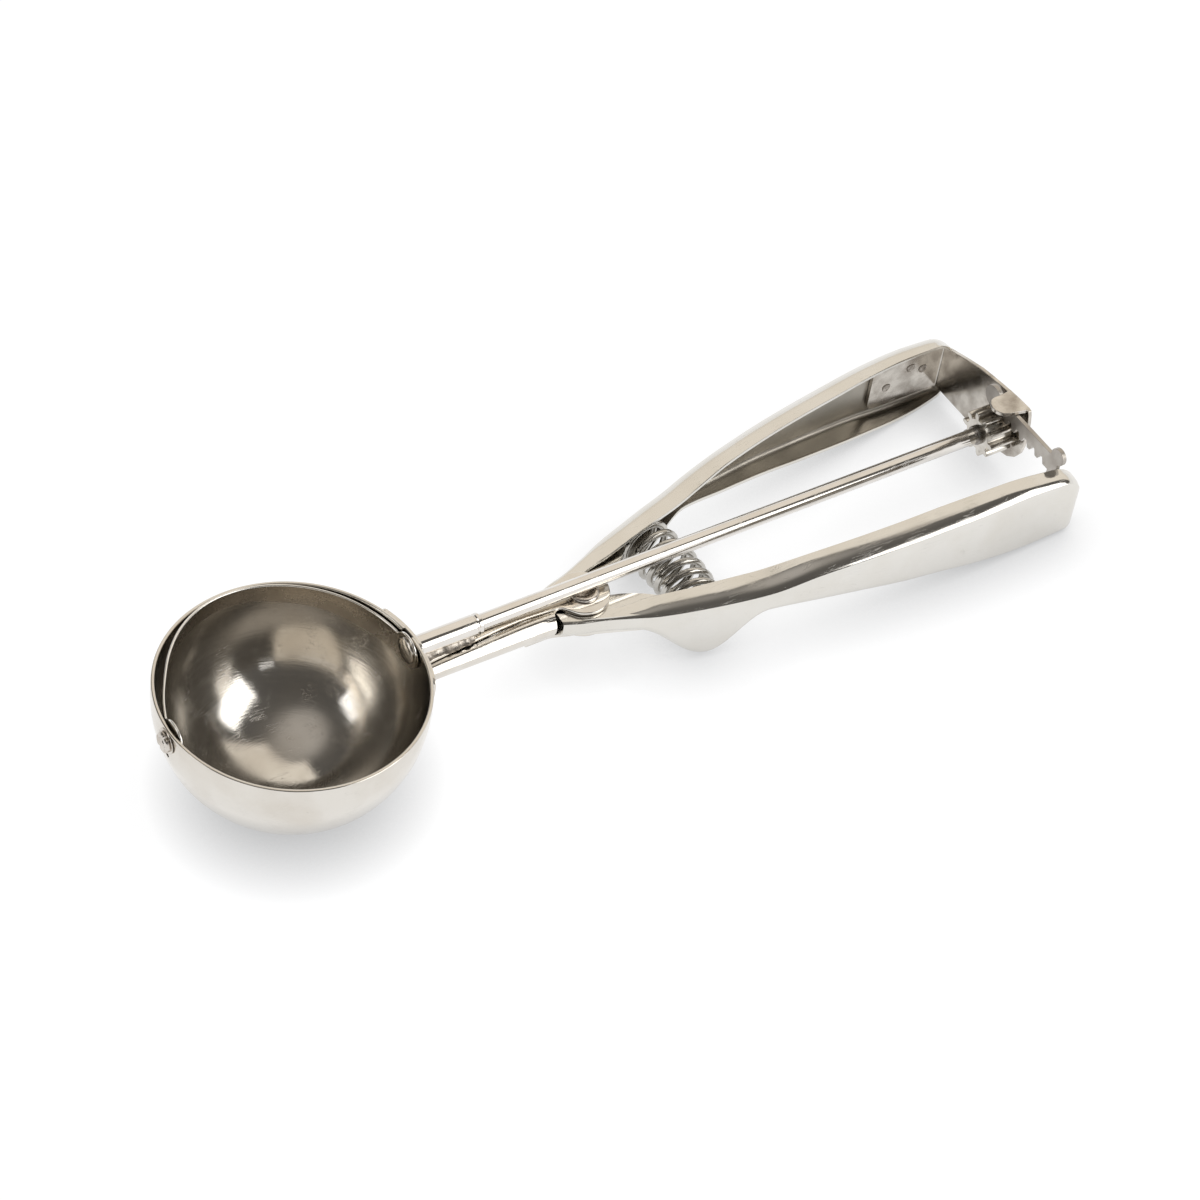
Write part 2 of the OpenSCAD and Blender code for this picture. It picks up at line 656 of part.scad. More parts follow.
// ---- rack ------------------------------------------------------------------
wall_in_y = outer_y(rack_x) - handle_t - seat_gap;
lip_y = top_lip_y(rack_x);
far_lobe_r = 2.7;
far_lobe_y = tab_far_y + stop_gap + far_lobe_r;
far_lobe_z = rack_top_z - 1.2;
hump_y = tab_near_y - squeeze_travel - stop_gap;
hump_r = 2;
hump_z = tab_z + 0.6;
neck_y = -lip_y + 0.35;
leg_low_z = -5;
foot_top_z = top_z(rack_x) - corner_top_r - 0.1;
rack_leg_len = 12;
pitch = PI * tooth_module;

// Strip outline seen along the spindle
module rack_outline() {
  y_teeth = hump_y - 0.4;
  translate([far_lobe_y, far_lobe_z]) circle(far_lobe_r);
  translate([y_teeth, rack_tip_z]) square([far_lobe_y - y_teeth, rack_top_z - rack_tip_z]);
  // neck that clears the flange's edge, with the round hump above the flange
  translate([neck_y, leg_low_z]) square([hump_y - neck_y, hump_z - leg_low_z]);
  translate([hump_y - hump_r, hump_z]) circle(hump_r, $fn = 32);
  translate([-wall_in_y, leg_low_z]) square([wall_in_y + hump_y, foot_top_z - leg_low_z]);
}

// Straight-sided gap between two rack teeth, widening towards the tips
module rack_gap() {
  half = pitch / 4 + backlash / 4;
  up = rack_root_z - pitch_r;
  down = rack_tip + 1;
  polygon([[-half - down * tan(20), pitch_r - down], [half + down * tan(20), pitch_r - down],
           [half - up * tan(20), pitch_r + up], [-half + up * tan(20), pitch_r + up]]);
}

module rack() {
  color([0.66, 0.64, 0.61]) lay() {
    cross_plate(rack_x - rack_t / 2, rack_t) difference() {
      rack_outline();
      for (k = [-1:5]) translate([-(k + 0.5) * pitch, 0]) rack_gap();
    }
    rack_leg();
  }
}

// Leg of the strip that lies against the inside of the squeezed handle
leg_x1 = rack_x + rack_t / 2;
leg_slope = atan2(outer_y(leg_x1) - outer_y(leg_x1 - rack_leg_len), rack_leg_len);
module rack_leg() {
  translate([leg_x1, -wall_in_y, leg_low_z]) rotate([0, 0, -leg_slope])
    translate([-rack_leg_len, 0, 0]) cube([rack_leg_len, rack_t, foot_top_z - leg_low_z]);
}

module rack_welds() {
  color([0.5, 0.48, 0.46]) lay() translate([leg_x1, -wall_in_y, 0]) rotate([0, 0, -leg_slope])
    for (k = [0, 1]) translate([-4 - 5 * k, rack_t, (leg_low_z + foot_top_z) / 2])
      rotate([-90, 0, 0]) cylinder(r = 1.2, h = 0.15);
}

// ---- bracket ---------------------------------------------------------------
strap_low_z = -8.3;
strap_top_z = 4.2;
strap_x0 = 158;
plate_out_y = outer_y(plate_x) - handle_t - seat_gap;
bend_out_r = corner_top_r - handle_t - 0.25;
strap_slope = atan2(outer_y(plate_x) - outer_y(strap_x0), plate_x - strap_x0);
bend_top_z = top_z(plate_back_x) - round_in(end_top_r, fixed_end_x - plate_back_x) - handle_t - 0.6;

module plate_outline() {
  lip = top_lip_y(plate_x) - 0.3;
  tab_top = tab_z + strap_t;
  difference() {
    union() {
      circle(boss_r);
      polygon([[plate_out_y - bend_out_r, strap_low_z], [plate_out_y - bend_out_r, bend_top_z],
               [lip, bend_top_z], [lip - 0.6, strap_top_z],
               [lip - 10.5, strap_top_z + 3.1], [tab_far_y + 6, tab_top - 1.2],
               [tab_far_y, tab_top], [tab_near_y, tab_top], [tab_near_y, 4],
               [-boss_r, 0], [-2, -boss_r + 0.3], [8, strap_low_z]]);
    }
    circle(rod_r + run_gap);
  }
}

// Quarter bend of the strap seen from above, running a little way into both sides
module bend_plan() {
  run = 0.6;
  out = [for (a = [0:15:90]) bend_out_r * [cos(a), sin(a)]];
  in = [for (a = [90:-15:0]) (bend_out_r - strap_t) * [cos(a), sin(a)]];
  polygon(concat([[bend_out_r, -run]], out,
                 [[-run, bend_out_r], [-run, bend_out_r - strap_t]],
                 in, [[bend_out_r - strap_t, -run]]));
}

module rack_bracket() {
  end_r = (strap_top_z - strap_low_z) * 0.3;
  color([0.72, 0.7, 0.67]) lay() {
    cross_plate(plate_x, strap_t) plate_outline();
    // guide tab over the rack: a round tongue that widens where it meets the plate
    translate([0, 0, tab_z]) linear_extrude(height = strap_t) {
      translate([plate_x - tab_len + tab_tip_r, tab_far_y - 2 * tab_tip_r])
        square([tab_len, 2 * tab_tip_r]);
      translate([plate_x - tab_len + tab_tip_r, tab_far_y - tab_tip_r]) circle(tab_tip_r);
      translate([plate_x - tab_root, tab_near_y]) square([tab_root + strap_t / 2, tab_tip_r]);
    }
    // bend between the plate and the leg
    translate([plate_back_x - bend_out_r, plate_out_y - bend_out_r, strap_low_z])
      linear_extrude(height = bend_top_z - strap_low_z) bend_plan();
    // leg against the inside of the fixed handle, round at its far end
    translate([plate_back_x - bend_out_r, plate_out_y, 0]) rotate([0, 0, strap_slope])
      rotate([90, 0, 0]) linear_extrude(height = strap_t) {
        l = plate_back_x - bend_out_r - strap_x0;
        polygon([[-l + end_r, strap_low_z], [0, strap_low_z], [0, bend_top_z],
                 [-1, bend_top_z], [-4.5, strap_top_z], [-l + end_r, strap_top_z],
                 [-l, strap_top_z - end_r], [-l, strap_low_z + end_r]]);
        translate([-l + end_r, strap_low_z + end_r]) circle(end_r);
        translate([-l + end_r, strap_top_z - end_r]) circle(end_r);
      }
  }
}

module bracket_welds() {
  color([0.5, 0.48, 0.46]) lay() translate([plate_back_x, plate_out_y - strap_t, 0])
    rotate([0, 0, strap_slope]) for (p = [[-6, -1], [-9.5, 0.5], [-15.5, -3]]) translate([p[0], 0, p[1]])
      rotate([90, 0, 0]) cylinder(r = 1.1, h = 0.15);
}

bowl();
shank();
shank_weld();
spindle_sleeve();
sleeve_braze();
tip_pin();
tip_washer();
pivot_rivet();
rivet_washer();
fixed_handle();
rack_bracket();
bracket_welds();
return_spring();
squeeze_handle();
rack();
rack_welds();
spindle_rod();
scraper();
pinion();
pinion_collar();
rod_clip();
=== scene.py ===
"""Looks of a lever ice cream scoop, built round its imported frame.

Shapes are worked out in tool coordinates, in millimetres: the origin is the centre of
the bowl's sphere, +X runs along the spindle to the handle ends, +Z is the bowl's open
side and -Y is the squeezed handle.  Tool.to_row turns them into the frame, in metres.
"""

import json
import logging
import math
from dataclasses import dataclass, field
from enum import Enum
from typing import Optional, Sequence

import bmesh
import bpy
import numpy as np
from mathutils import Matrix


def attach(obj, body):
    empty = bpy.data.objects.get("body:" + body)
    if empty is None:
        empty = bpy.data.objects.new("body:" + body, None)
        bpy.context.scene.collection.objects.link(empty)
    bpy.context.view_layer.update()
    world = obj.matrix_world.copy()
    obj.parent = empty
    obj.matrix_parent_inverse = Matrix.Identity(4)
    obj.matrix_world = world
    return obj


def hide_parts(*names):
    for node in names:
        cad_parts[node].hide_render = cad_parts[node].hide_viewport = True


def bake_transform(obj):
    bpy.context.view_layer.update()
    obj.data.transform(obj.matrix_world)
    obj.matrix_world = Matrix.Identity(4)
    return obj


Array = np.ndarray
Curve = Sequence[tuple[float, float]]
Rgb = tuple[float, float, float]
Pair = tuple[float, float]
Socket = bpy.types.NodeSocket

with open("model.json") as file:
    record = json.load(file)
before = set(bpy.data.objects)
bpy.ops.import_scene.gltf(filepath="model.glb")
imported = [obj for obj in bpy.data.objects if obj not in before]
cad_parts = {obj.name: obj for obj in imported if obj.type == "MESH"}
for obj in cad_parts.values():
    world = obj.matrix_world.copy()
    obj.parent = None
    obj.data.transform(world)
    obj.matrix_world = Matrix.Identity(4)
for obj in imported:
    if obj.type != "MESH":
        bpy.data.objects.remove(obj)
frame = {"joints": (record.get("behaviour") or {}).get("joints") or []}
log = logging.getLogger("scoop")


class Body(Enum):
    """The rigid bodies that pieces ride on."""

    FRAME = "frame"
    SQUEEZE = "squeeze_handle"
    SPINDLE = "spindle"


class Axis(Enum):
    """The tool's axes: X along the spindle, Z along the rivet and through the bowl's mouth."""

    X = 0
    Y = 1
    Z = 2


class Plane(Enum):
    """How a flat piece lies in the tool."""

    ACROSS = "square to the spindle"
    LEVEL = "square to the rivet"


# ---- the tool's place in the frame -----------------------------------------------------------


@dataclass(frozen=True)
class Tool:
    """Where the tool lies: its origin in the frame and its tilt about Y.

    Attributes:
        origin: centre of the bowl's sphere in the frame, in metres.
        tilt: angle by which the spindle falls towards +X, in radians.
    """

    origin: Array
    tilt: float

    @classmethod
    def from_joints(cls, joints: list[dict], spindle_at: float = 100.0) -> "Tool":
        """Reads the tool's place from its two hinges.

        Args:
            joints: the frame's joints.
            spindle_at: distance of the spindle joint's point from the bowl's centre, mm.
        Returns:
            The tool's place.
        """
        by_name = {joint["name"]: joint for joint in joints}
        rivet_axis = by_name["squeeze"]["axis"]
        tilt = math.atan2(rivet_axis[0], rivet_axis[2])
        along = np.array([math.cos(tilt), 0.0, -math.sin(tilt)])
        return cls(np.array(by_name["spindle_turn"]["pos_m"]) - along * spindle_at / 1000, tilt)

    def turn(self, vectors: Array) -> Array:
        """Turns tool vectors into the frame: a rotation about Y by the tilt.

        Args:
            vectors: any array whose last axis is X, Y and Z.
        Returns:
            The turned vectors, in an array of the same shape.
        """
        c, s = math.cos(self.tilt), math.sin(self.tilt)
        x, y, z = np.moveaxis(np.asarray(vectors, float), -1, 0)
        return np.stack([x * c + z * s, y, z * c - x * s], -1)

    def to_row(self, points: Array) -> Array:
        """Turns tool points in millimetres into frame points in metres."""
        return self.turn(points) / 1000 + self.origin


TOOL = Tool.from_joints(frame["joints"])


# ---- points and curves -----------------------------------------------------------------------


def xyz(*parts: Array | float) -> Array:
    """Coordinates set side by side, each spread over their common grid."""
    return np.stack(np.broadcast_arrays(*parts), -1)


def polar(radius: Array, angle: Array, z: Array | float) -> Array:
    """Points at a radius and an angle about Z, at a height."""
    return xyz(radius * np.cos(angle), radius * np.sin(angle), z)


def sweep(first: float, last: float, count: int) -> Array:
    """Even angles from first to last, given in degrees and returned in radians."""
    return np.radians(np.linspace(first, last, count))


def all_round(count: int) -> Array:
    """Even angles round a full turn, in radians."""
    return np.radians(np.arange(count) * 360 / count)


def arc(centre: Pair, radius: float, start: float, end: float, steps: int) -> Array:
    """Points on a circle arc in a plane, angles in degrees."""
    a = sweep(start, end, steps + 1)
    return xyz(centre[0] + radius * np.cos(a), centre[1] + radius * np.sin(a))


def root(squared: Array) -> Array:
    """Square root, and 0 where there is none."""
    return np.sqrt(np.maximum(squared, 0))


def through(rows: Curve, at: Array) -> Array:
    """Smooth curve through rows of (position, value).

    Cubic Hermite pieces whose slope at each row is that of the chord between its
    neighbours.

    Args:
        rows: positions in rising order, with their values.
        at: positions to evaluate.
    Returns:
        The values there.
    """
    x, y = np.array(rows, float).T
    low = np.maximum(np.arange(len(x)) - 1, 0)
    high = np.minimum(np.arange(len(x)) + 1, len(x) - 1)
    slope = (y[high] - y[low]) / (x[high] - x[low])
    at = np.asarray(at, float)
    i = np.clip(np.searchsorted(x, at) - 1, 0, len(x) - 2)
    width = x[i + 1] - x[i]
    u = (at - x[i]) / width
    return (y[i] * (1 + 2 * u) * (1 - u) ** 2 + slope[i] * width * u * (1 - u) ** 2
            + y[i + 1] * u * u * (3 - 2 * u) - slope[i + 1] * width * u * u * (1 - u))


def round_in(radius: Array | float, depth: Array) -> Array:
    """Pull-back of a face that ends in a quarter circle, at a depth from the end."""
    return radius - root(radius ** 2 - (radius - np.minimum(np.maximum(depth, 0), radius)) ** 2)


def smooth_step(low: float, high: float, at: Array) -> Array:
    """Rises from 0 at low to 1 at high with flat ends: t squared times (3 - 2 t)."""
    t = np.clip((np.asarray(at, float) - low) / (high - low), 0, 1)
    return t * t * (3 - 2 * t)


# ---- shapes ----------------------------------------------------------------------------------


@dataclass
class Shape:
    """Points in tool millimetres and the faces between them, before they become a mesh."""

    points: list[Array] = field(default_factory=list)
    faces: list[tuple[int, ...]] = field(default_factory=list)
    inside: Optional[Array] = None

    @property
    def count(self) -> int:
        """How many points there are so far."""
        return sum(len(p) for p in self.points)

    def add_grid(self, grid: Array, wrap_rows: bool = False, wrap_cols: bool = False) -> int:
        """Adds a surface given as a grid of points, each cell a four-sided face.

        Args:
            grid: points, rows by columns by 3.
            wrap_rows: whether the last row joins the first.
            wrap_cols: whether the last column joins the first.
        Returns:
            The number of the grid's first point.
        """
        rows, cols = grid.shape[:2]
        first = self.count
        i, j = np.meshgrid(np.arange(rows if wrap_rows else rows - 1),
                           np.arange(cols if wrap_cols else cols - 1), indexing="ij")
        up, over = (i + 1) % rows, (j + 1) % cols
        cells = xyz(i * cols + j, i * cols + over, up * cols + over, up * cols + j)
        self.points.append(grid.reshape(-1, 3))
        self.faces += [tuple(f) for f in (cells.reshape(-1, 4) + first).tolist()]
        return first

    def add_sweep(self, loops: Array, wrap: bool = False) -> "Shape":
        """Adds a closed solid from closed loops, one after the other.

        Args:
            loops: loops by points by 3; each loop closes on itself.
            wrap: whether the last loop joins the first; otherwise both get a flat cap.
        Returns:
            This shape.
        """
        rows, cols = loops.shape[:2]
        first = self.add_grid(loops, wrap_rows=wrap, wrap_cols=True)
        if not wrap:
            self.faces.append(tuple(range(first + cols - 1, first - 1, -1)))
            self.faces.append(tuple(range(first + (rows - 1) * cols, first + rows * cols)))
        return self

    def add(self, other: "Shape") -> "Shape":
        """Adds another shape's points and faces.

        Args:
            other: the shape to take in.
        Returns:
            This shape.
        """
        first = self.count
        self.points += other.points
        self.faces += [tuple(k + first for k in f) for f in other.faces]
        return self

    def moved(self, *by: float) -> "Shape":
        """Moves the shape by an offset along each axis, and returns it."""
        self.points = [p + np.array(by) for p in self.points]
        return self

    def turned(self, axis: Axis, degrees: float) -> "Shape":
        """Turns the shape about an axis through the origin.

        Args:
            axis: the axis.
            degrees: the angle, from the next axis towards the one after it.
        Returns:
            This shape.
        """
        a, b = (axis.value + 1) % 3, (axis.value + 2) % 3
        c, s = math.cos(math.radians(degrees)), math.sin(math.radians(degrees))
        matrix = np.eye(3)
        matrix[a, a], matrix[a, b], matrix[b, a], matrix[b, b] = c, s, -s, c
        self.points = [p @ matrix for p in self.points]
        return self

    def mirrored(self, side: int) -> "Shape":
        """Mirrors the shape to -Y where side is -1, and returns it."""
        self.points = [p * (1, side, 1) for p in self.points]
        return self


def revolve(profile: Array, steps: int, axis: Axis = Axis.X, span: Pair = (0, 360)) -> Shape:
    """Turns a closed profile round an axis.

    Each point (a, r) of the profile goes to a along the axis and to r times the cosine
    and sine of the angle across it.

    Args:
        profile: points (along, radius), a closed loop.
        steps: how many steps round.
        axis: X for the spindle's axis, Z for the bowl's.
        span: first and last angle in degrees; a full turn closes on itself.
    Returns:
        The turned solid.
    """
    full = abs(span[1] - span[0]) >= 360
    a = sweep(*span, steps + 1)[: steps if full else None, None]
    along, across, up = profile[:, 0], profile[:, 1] * np.cos(a), profile[:, 1] * np.sin(a)
    loops = xyz(along, across, up) if axis is Axis.X else xyz(across, up, along)
    return Shape().add_sweep(loops, wrap=full)


def rod_profile(x0: float, x1: float, radius: float, chamfer: float, bore: float = 0.0) -> Array:
    """Closed profile of a rod or a tube with chamfered ends.

    Args:
        x0: where it starts along its axis.
        x1: where it ends.
        radius: its outside radius.
        chamfer: how far its outer edges are cut back.
        bore: its inside radius.
    Returns:
        Points as (along, radius).
    """
    inner = max(bore, 1e-4)
    return np.array([(x0, inner), (x0, radius - chamfer), (x0 + chamfer, radius),
                     (x1 - chamfer, radius), (x1, radius - chamfer), (x1, inner)])


def drill(x0: float, x1: float, radius: float, steps: int) -> Shape:
    """The solid that a drilled hole takes away along the spindle's axis."""
    return revolve(rod_profile(x0, x1, radius, 0.01), steps)


def oblong(a0: float, b0: float, a1: float, b1: float) -> Array:
    """The corners of an upright oblong between two opposite ones."""
    return np.array([(a0, b0), (a1, b0), (a1, b1), (a0, b1)])


def slab(outline: Array, x0: float, x1: float, plane: Plane = Plane.ACROSS) -> Shape:
    """A flat outline given a thickness.

    Args:
        outline: points of the closed outline in its plane.
        x0: where it starts along the third direction.
        x1: where it ends.
        plane: how the plate lies.
    Returns:
        The plate.
    """
    third, (a, b) = np.array([[x0], [x1]]), outline.T
    return Shape().add_sweep(xyz(third, a, b) if plane is Plane.ACROSS else xyz(a, b, third))


# ---- finishes --------------------------------------------------------------------------------


class Slot(Enum):
    """Material slots of the record."""

    BOWL = "bowl_steel"
    HANDLE = "handle_steel"
    STRIP = "strip_steel"
    PIN = "pin_steel"
    PINION = "pinion_steel"
    SPRING = "spring_steel"
    WELD = "weld_metal"


class Lay(Enum):
    """Which way the fine lines of a finish run, as the scales that draw a noise out along it."""

    ALONG = (0.03, 1.0, 1.0)
    NONE = (1.0, 1.0, 1.0)
    ROUND = ()


class Wiring:
    """Short ways to lay out a material's nodes."""

    def __init__(self, owner: bpy.types.ID) -> None:
        """Starts the tree of a material or world afresh.

        Args:
            owner: the material or world.
        """
        owner.use_nodes = True
        self.tree = owner.node_tree
        self.tree.nodes.clear()

    def add(self, kind: str, values: Optional[dict] = None, **settings: object) -> bpy.types.Node:
        """Adds a node.

        Args:
            kind: the node's type without the ShaderNode prefix.
            values: sockets by name or number, each given a value or another socket.
            settings: the node's own settings.
        Returns:
            The node.
        """
        node = self.tree.nodes.new("ShaderNode" + kind)
        for key, value in settings.items():
            setattr(node, key, value)
        for key, value in (values or {}).items():
            if isinstance(value, Socket):
                self.tree.links.new(value, node.inputs[key])
            else:
                node.inputs[key].default_value = value
        return node

    def maths(self, what: str, a: object, b: object = 0.0, c: object = 0.0) -> Socket:
        """One sum of up to three numbers or sockets."""
        return self.add("Math", {0: a, 1: b, 2: c}, operation=what).outputs[0]

    def times(self, a: object, b: object, plus: object = 0.0) -> Socket:
        """The product of two, and something added to it."""
        return self.maths("MULTIPLY_ADD", a, b, plus)

    def scaled(self, vector: Socket, by: tuple[float, ...], turn: Rgb = (0, 0, 0)) -> Socket:
        """Coordinates turned and then scaled along each axis."""
        turned = self.add("Mapping", {"Vector": vector, "Rotation": turn}).outputs[0]
        return self.add("Mapping", {"Vector": turned, "Scale": by}).outputs[0]

    def noise(self, vector: Socket, scale: float, detail: float = 2.0) -> Socket:
        """Cloudy noise between 0 and 1, about 1/scale wide."""
        return self.add("TexNoise", {"Vector": vector, "Scale": scale, "Detail": detail}).outputs[0]

    def span(self, value: Socket, low: float, high: float, to_low: float = 0.0, to_high: float = 1.0,
             **settings: object) -> Socket:
        """Maps low..high to to_low..to_high and holds it there."""
        ends = {0: value, 1: low, 2: high, 3: to_low, 4: to_high}
        return self.add("MapRange", ends, **settings).outputs[0]

    def blend(self, share: object, a: object, b: object) -> Socket:
        """Mixes two colours."""
        return self.add("Mix", {0: share, 6: a, 7: b}, data_type="RGBA").outputs[2]


def rgba(colour: Rgb, shade: float = 1.0) -> tuple[float, float, float, float]:
    """A colour, darkened to a shade of itself, with full cover."""
    return (*(shade * c for c in colour), 1.0)


@dataclass(frozen=True)
class Steel:
    """A worked steel surface: colour, stains, polish, fine lines, scratches and dents.

    All patterns are laid out in tool millimetres.

    Attributes:
        name: the material's name.
        slot: the record's slot it belongs to; not used.
        colour: the clean metal.
        stain: the tone of its stained patches.
        rough: mean roughness.
        spread: how much the roughness changes from patch to patch.
        patch: size of the patches.
        stained: share of the stain's colour in a patch.
        lay: which way the fine lines run.
        lines: depth of the fine lines.
        waves: depth of the broad unevenness of the sheet.
        wave_size: width of that unevenness.
        scratched: how far scratches show.
        pitted: depth of small pits and blisters.
        inner: colour and roughness of the inner faces, marked by the attribute "inside"; the darker
        colour is painted shade inside the channel, the higher roughness a duller finish.
        patch_noise: noise levels between which a patch fades in.
        line_noise: scale and detail of the fine lines' noise.
        ring_twist: how far the fine lines run on round a ring, per radian.
        scratch_sets: for each set of scratches its turn about the axes, its noise's scale
            and the noise level from which it shows.
        scratch_areas: scale of the noise that keeps the scratches in some places only.
        scratch_width: half width of a scratch, as a step of its noise.
        scratch_tint: share of darkened stain in a scratch, and how dark it is.
        scratch_rough: roughness that a scratch adds.
        scratch_deep: depth of a scratch.
        inner_shade: how dark the patches of inner faces are.
        pit_noise: scale and detail of the pits' noise.
    """

    name: str
    slot: Slot
    colour: Rgb
    stain: Rgb
    rough: float
    spread: float = 0.08
    patch: float = 7.0
    stained: float = 0.5
    lay: Lay = Lay.ALONG
    lines: float = 0.004
    waves: float = 0.02
    wave_size: float = 9.0
    scratched: float = 0.3
    pitted: float = 0.0
    inner: Optional[tuple[Rgb, float]] = None
    patch_noise: Pair = (0.38, 0.66)
    line_noise: Pair = (3.2, 3.0)
    ring_twist: float = 0.9
    scratch_sets: tuple[tuple[Rgb, float, float], ...] = (((0.0, 0.06, 0.09), 1.6, 0.5),
                                                          ((0.2, -0.1, -0.3), 1.1, 0.56))
    scratch_areas: float = 0.21
    scratch_width: float = 0.012
    scratch_tint: Pair = (0.4, 0.6)
    scratch_rough: float = 0.25
    scratch_deep: float = 0.012
    inner_shade: float = 0.8
    pit_noise: Pair = (1.6, 3.0)

    def place(self, w: Wiring) -> Socket:
        """Object coordinates turned and moved into the tool's, in millimetres.

        Args:
            w: the material's wiring.
        Returns:
            The coordinates.
        """
        c, s = math.cos(TOOL.tilt), math.sin(TOOL.tilt)
        x, y, z = TOOL.origin * 1000
        home = (-(x * c - z * s), -y, -(z * c + x * s))
        coords = w.add("TexCoord").outputs["Object"]
        return w.add("Mapping", {"Vector": coords, "Location": home, "Rotation": (0, -TOOL.tilt, 0),
                                 "Scale": (1000, 1000, 1000)}).outputs[0]

    def fine_lines(self, w: Wiring, at: Socket) -> Socket:
        """Streaky noise drawn out along the lay; rings use radius, height and angle.

        Args:
            w: the material's wiring.
            at: tool coordinates.
        Returns:
            The noise, 0 to 1.
        """
        if self.lay is Lay.ROUND:
            x, y, z = w.add("SeparateXYZ", {0: at}).outputs
            across = w.maths("SQRT", w.times(x, x, w.times(y, y)))
            angle = w.times(w.maths("ARCTAN2", y, x), self.ring_twist)
            at = w.add("CombineXYZ", {0: across, 1: z, 2: angle}).outputs[0]
        else:
            at = w.scaled(at, self.lay.value)
        return w.noise(at, *self.line_noise)

    def scratches(self, w: Wiring, at: Socket) -> Socket:
        """Thin long lines: level lines of a drawn-out noise, kept in some places only.

        Args:
            w: the material's wiring.
            at: tool coordinates.
        Returns:
            1 on a scratch and 0 elsewhere.
        """
        kept = []
        for turn, scale, keep in self.scratch_sets:
            drawn = w.noise(w.scaled(at, Lay.ALONG.value, turn), scale, 0.0)
            off = w.maths("ABSOLUTE", w.maths("SUBTRACT", drawn, 0.5))
            line = w.span(off, 0.0, self.scratch_width, 1.0, 0.0)
            kept.append(w.times(line, w.span(w.noise(at, self.scratch_areas), keep, keep + 0.08)))
        return w.maths("MAXIMUM", *kept)

    def material(self) -> bpy.types.Material:
        """The finish as a material, made once.

        The colour goes from clean to stained metal by the patches and darkens on scratches;
        the roughness is its mean plus shares of patches, fine lines and scratches; the
        surface's height adds up fine lines, broad waves, scratches and pits.

        Returns:
            The material.
        """
        known = bpy.data.materials.get(self.name)
        if known:
            return known
        made = bpy.data.materials.new(self.name)
        w = Wiring(made)
        at = self.place(w)
        patches = w.span(w.noise(at, 1 / self.patch, 4.0), *self.patch_noise)
        lines = self.fine_lines(w, at)
        marked = w.times(self.scratches(w, at), self.scratched)
        share, shade = self.scratch_tint
        colour = w.blend(w.times(patches, self.stained), rgba(self.colour), rgba(self.stain))
        colour = w.blend(w.times(marked, share), colour, rgba(self.stain, shade))
        rough = w.times(patches, self.spread, self.rough - self.spread / 2)
        rough = w.times(w.maths("SUBTRACT", lines, 0.5), self.spread, rough)
        rough = w.times(marked, self.scratch_rough, rough)
        # Inner faces: a darker tone that is painted shade inside the channel, and a duller finish.
        if self.inner:
            tone, dull = self.inner
            inside = w.add("Attribute", attribute_name="inside").outputs["Fac"]
            colour = w.blend(inside, colour, w.blend(patches, rgba(tone), rgba(tone, self.inner_shade)))
            rough = w.maths("MAXIMUM", rough, w.times(inside, dull))
        height = w.times(w.noise(at, 1 / self.wave_size, 1.0), self.waves, w.times(lines, self.lines))
        height = w.times(marked, -self.scratch_deep, height)
        if self.pitted:
            height = w.times(w.noise(at, *self.pit_noise), self.pitted, height)
        bump = w.add("Bump", {"Height": height, "Distance": 0.001, "Strength": 1.0}).outputs[0]
        shader = w.add("BsdfPrincipled", {"Base Color": colour, "Roughness": rough, "Normal": bump,
                                          "Metallic": 1.0})
        w.add("OutputMaterial", {"Surface": shader.outputs[0]})
        return made


BOWL_STEEL = Steel("bowl steel", Slot.BOWL, (0.72, 0.69, 0.64), (0.60, 0.55, 0.48), 0.17, spread=0.12,
                   patch=12, lay=Lay.ROUND, lines=0.011, waves=0.05, wave_size=12, scratched=0.5)
# The handle's inner tone is darker: painted shade inside its channel.
HANDLE_STEEL = Steel("handle steel", Slot.HANDLE, (0.75, 0.73, 0.69), (0.69, 0.66, 0.60), 0.12, spread=0.06,
                     patch=10, waves=0.04, wave_size=14, scratched=0.5, inner=((0.44, 0.41, 0.36), 0.32))
SHANK_STEEL = Steel("shank steel", Slot.HANDLE, (0.74, 0.71, 0.66), (0.62, 0.57, 0.50), 0.12,
                    patch=5, waves=0.05, wave_size=5, scratched=0.5)
BAND_STEEL = Steel("scraper steel", Slot.STRIP, (0.62, 0.57, 0.50), (0.46, 0.41, 0.35), 0.28, spread=0.1,
                   patch=6, lines=0.008, waves=0.03, wave_size=8, scratched=0.6)
EDGE_STEEL = Steel("edge steel", Slot.STRIP, (0.88, 0.86, 0.82), (0.78, 0.75, 0.70), 0.14, spread=0.06,
                   patch=3, lines=0.003, waves=0.0, scratched=0.2)
STRAP_STEEL = Steel("strap steel", Slot.STRIP, (0.70, 0.66, 0.60), (0.30, 0.26, 0.22), 0.22, spread=0.12,
                    patch=4.5, stained=0.8, lines=0.005, waves=0.03, wave_size=5, scratched=0.6)
RACK_STEEL = Steel("rack steel", Slot.STRIP, (0.52, 0.49, 0.45), (0.38, 0.34, 0.30), 0.4, spread=0.12,
                   patch=4, lay=Lay.NONE, wave_size=4, scratched=0.6)
ROD_STEEL = Steel("rod steel", Slot.PIN, (0.78, 0.75, 0.71), (0.70, 0.66, 0.60), 0.12, spread=0.06,
                  patch=6, waves=0.0, scratched=0.5)
PIN_STEEL = Steel("pin steel", Slot.PIN, (0.66, 0.62, 0.57), (0.42, 0.37, 0.32), 0.2, spread=0.12,
                  patch=2, lay=Lay.NONE, wave_size=2, scratched=0.5, pitted=0.01)
PINION_STEEL = Steel("pinion steel", Slot.PINION, (0.68, 0.65, 0.60), (0.44, 0.40, 0.35), 0.2, spread=0.1,
                     patch=3, waves=0.0, scratched=0.5)
DARK_STEEL = Steel("collar steel", Slot.PINION, (0.34, 0.32, 0.30), (0.20, 0.18, 0.17), 0.3,
                   patch=2, lay=Lay.NONE, waves=0.0)
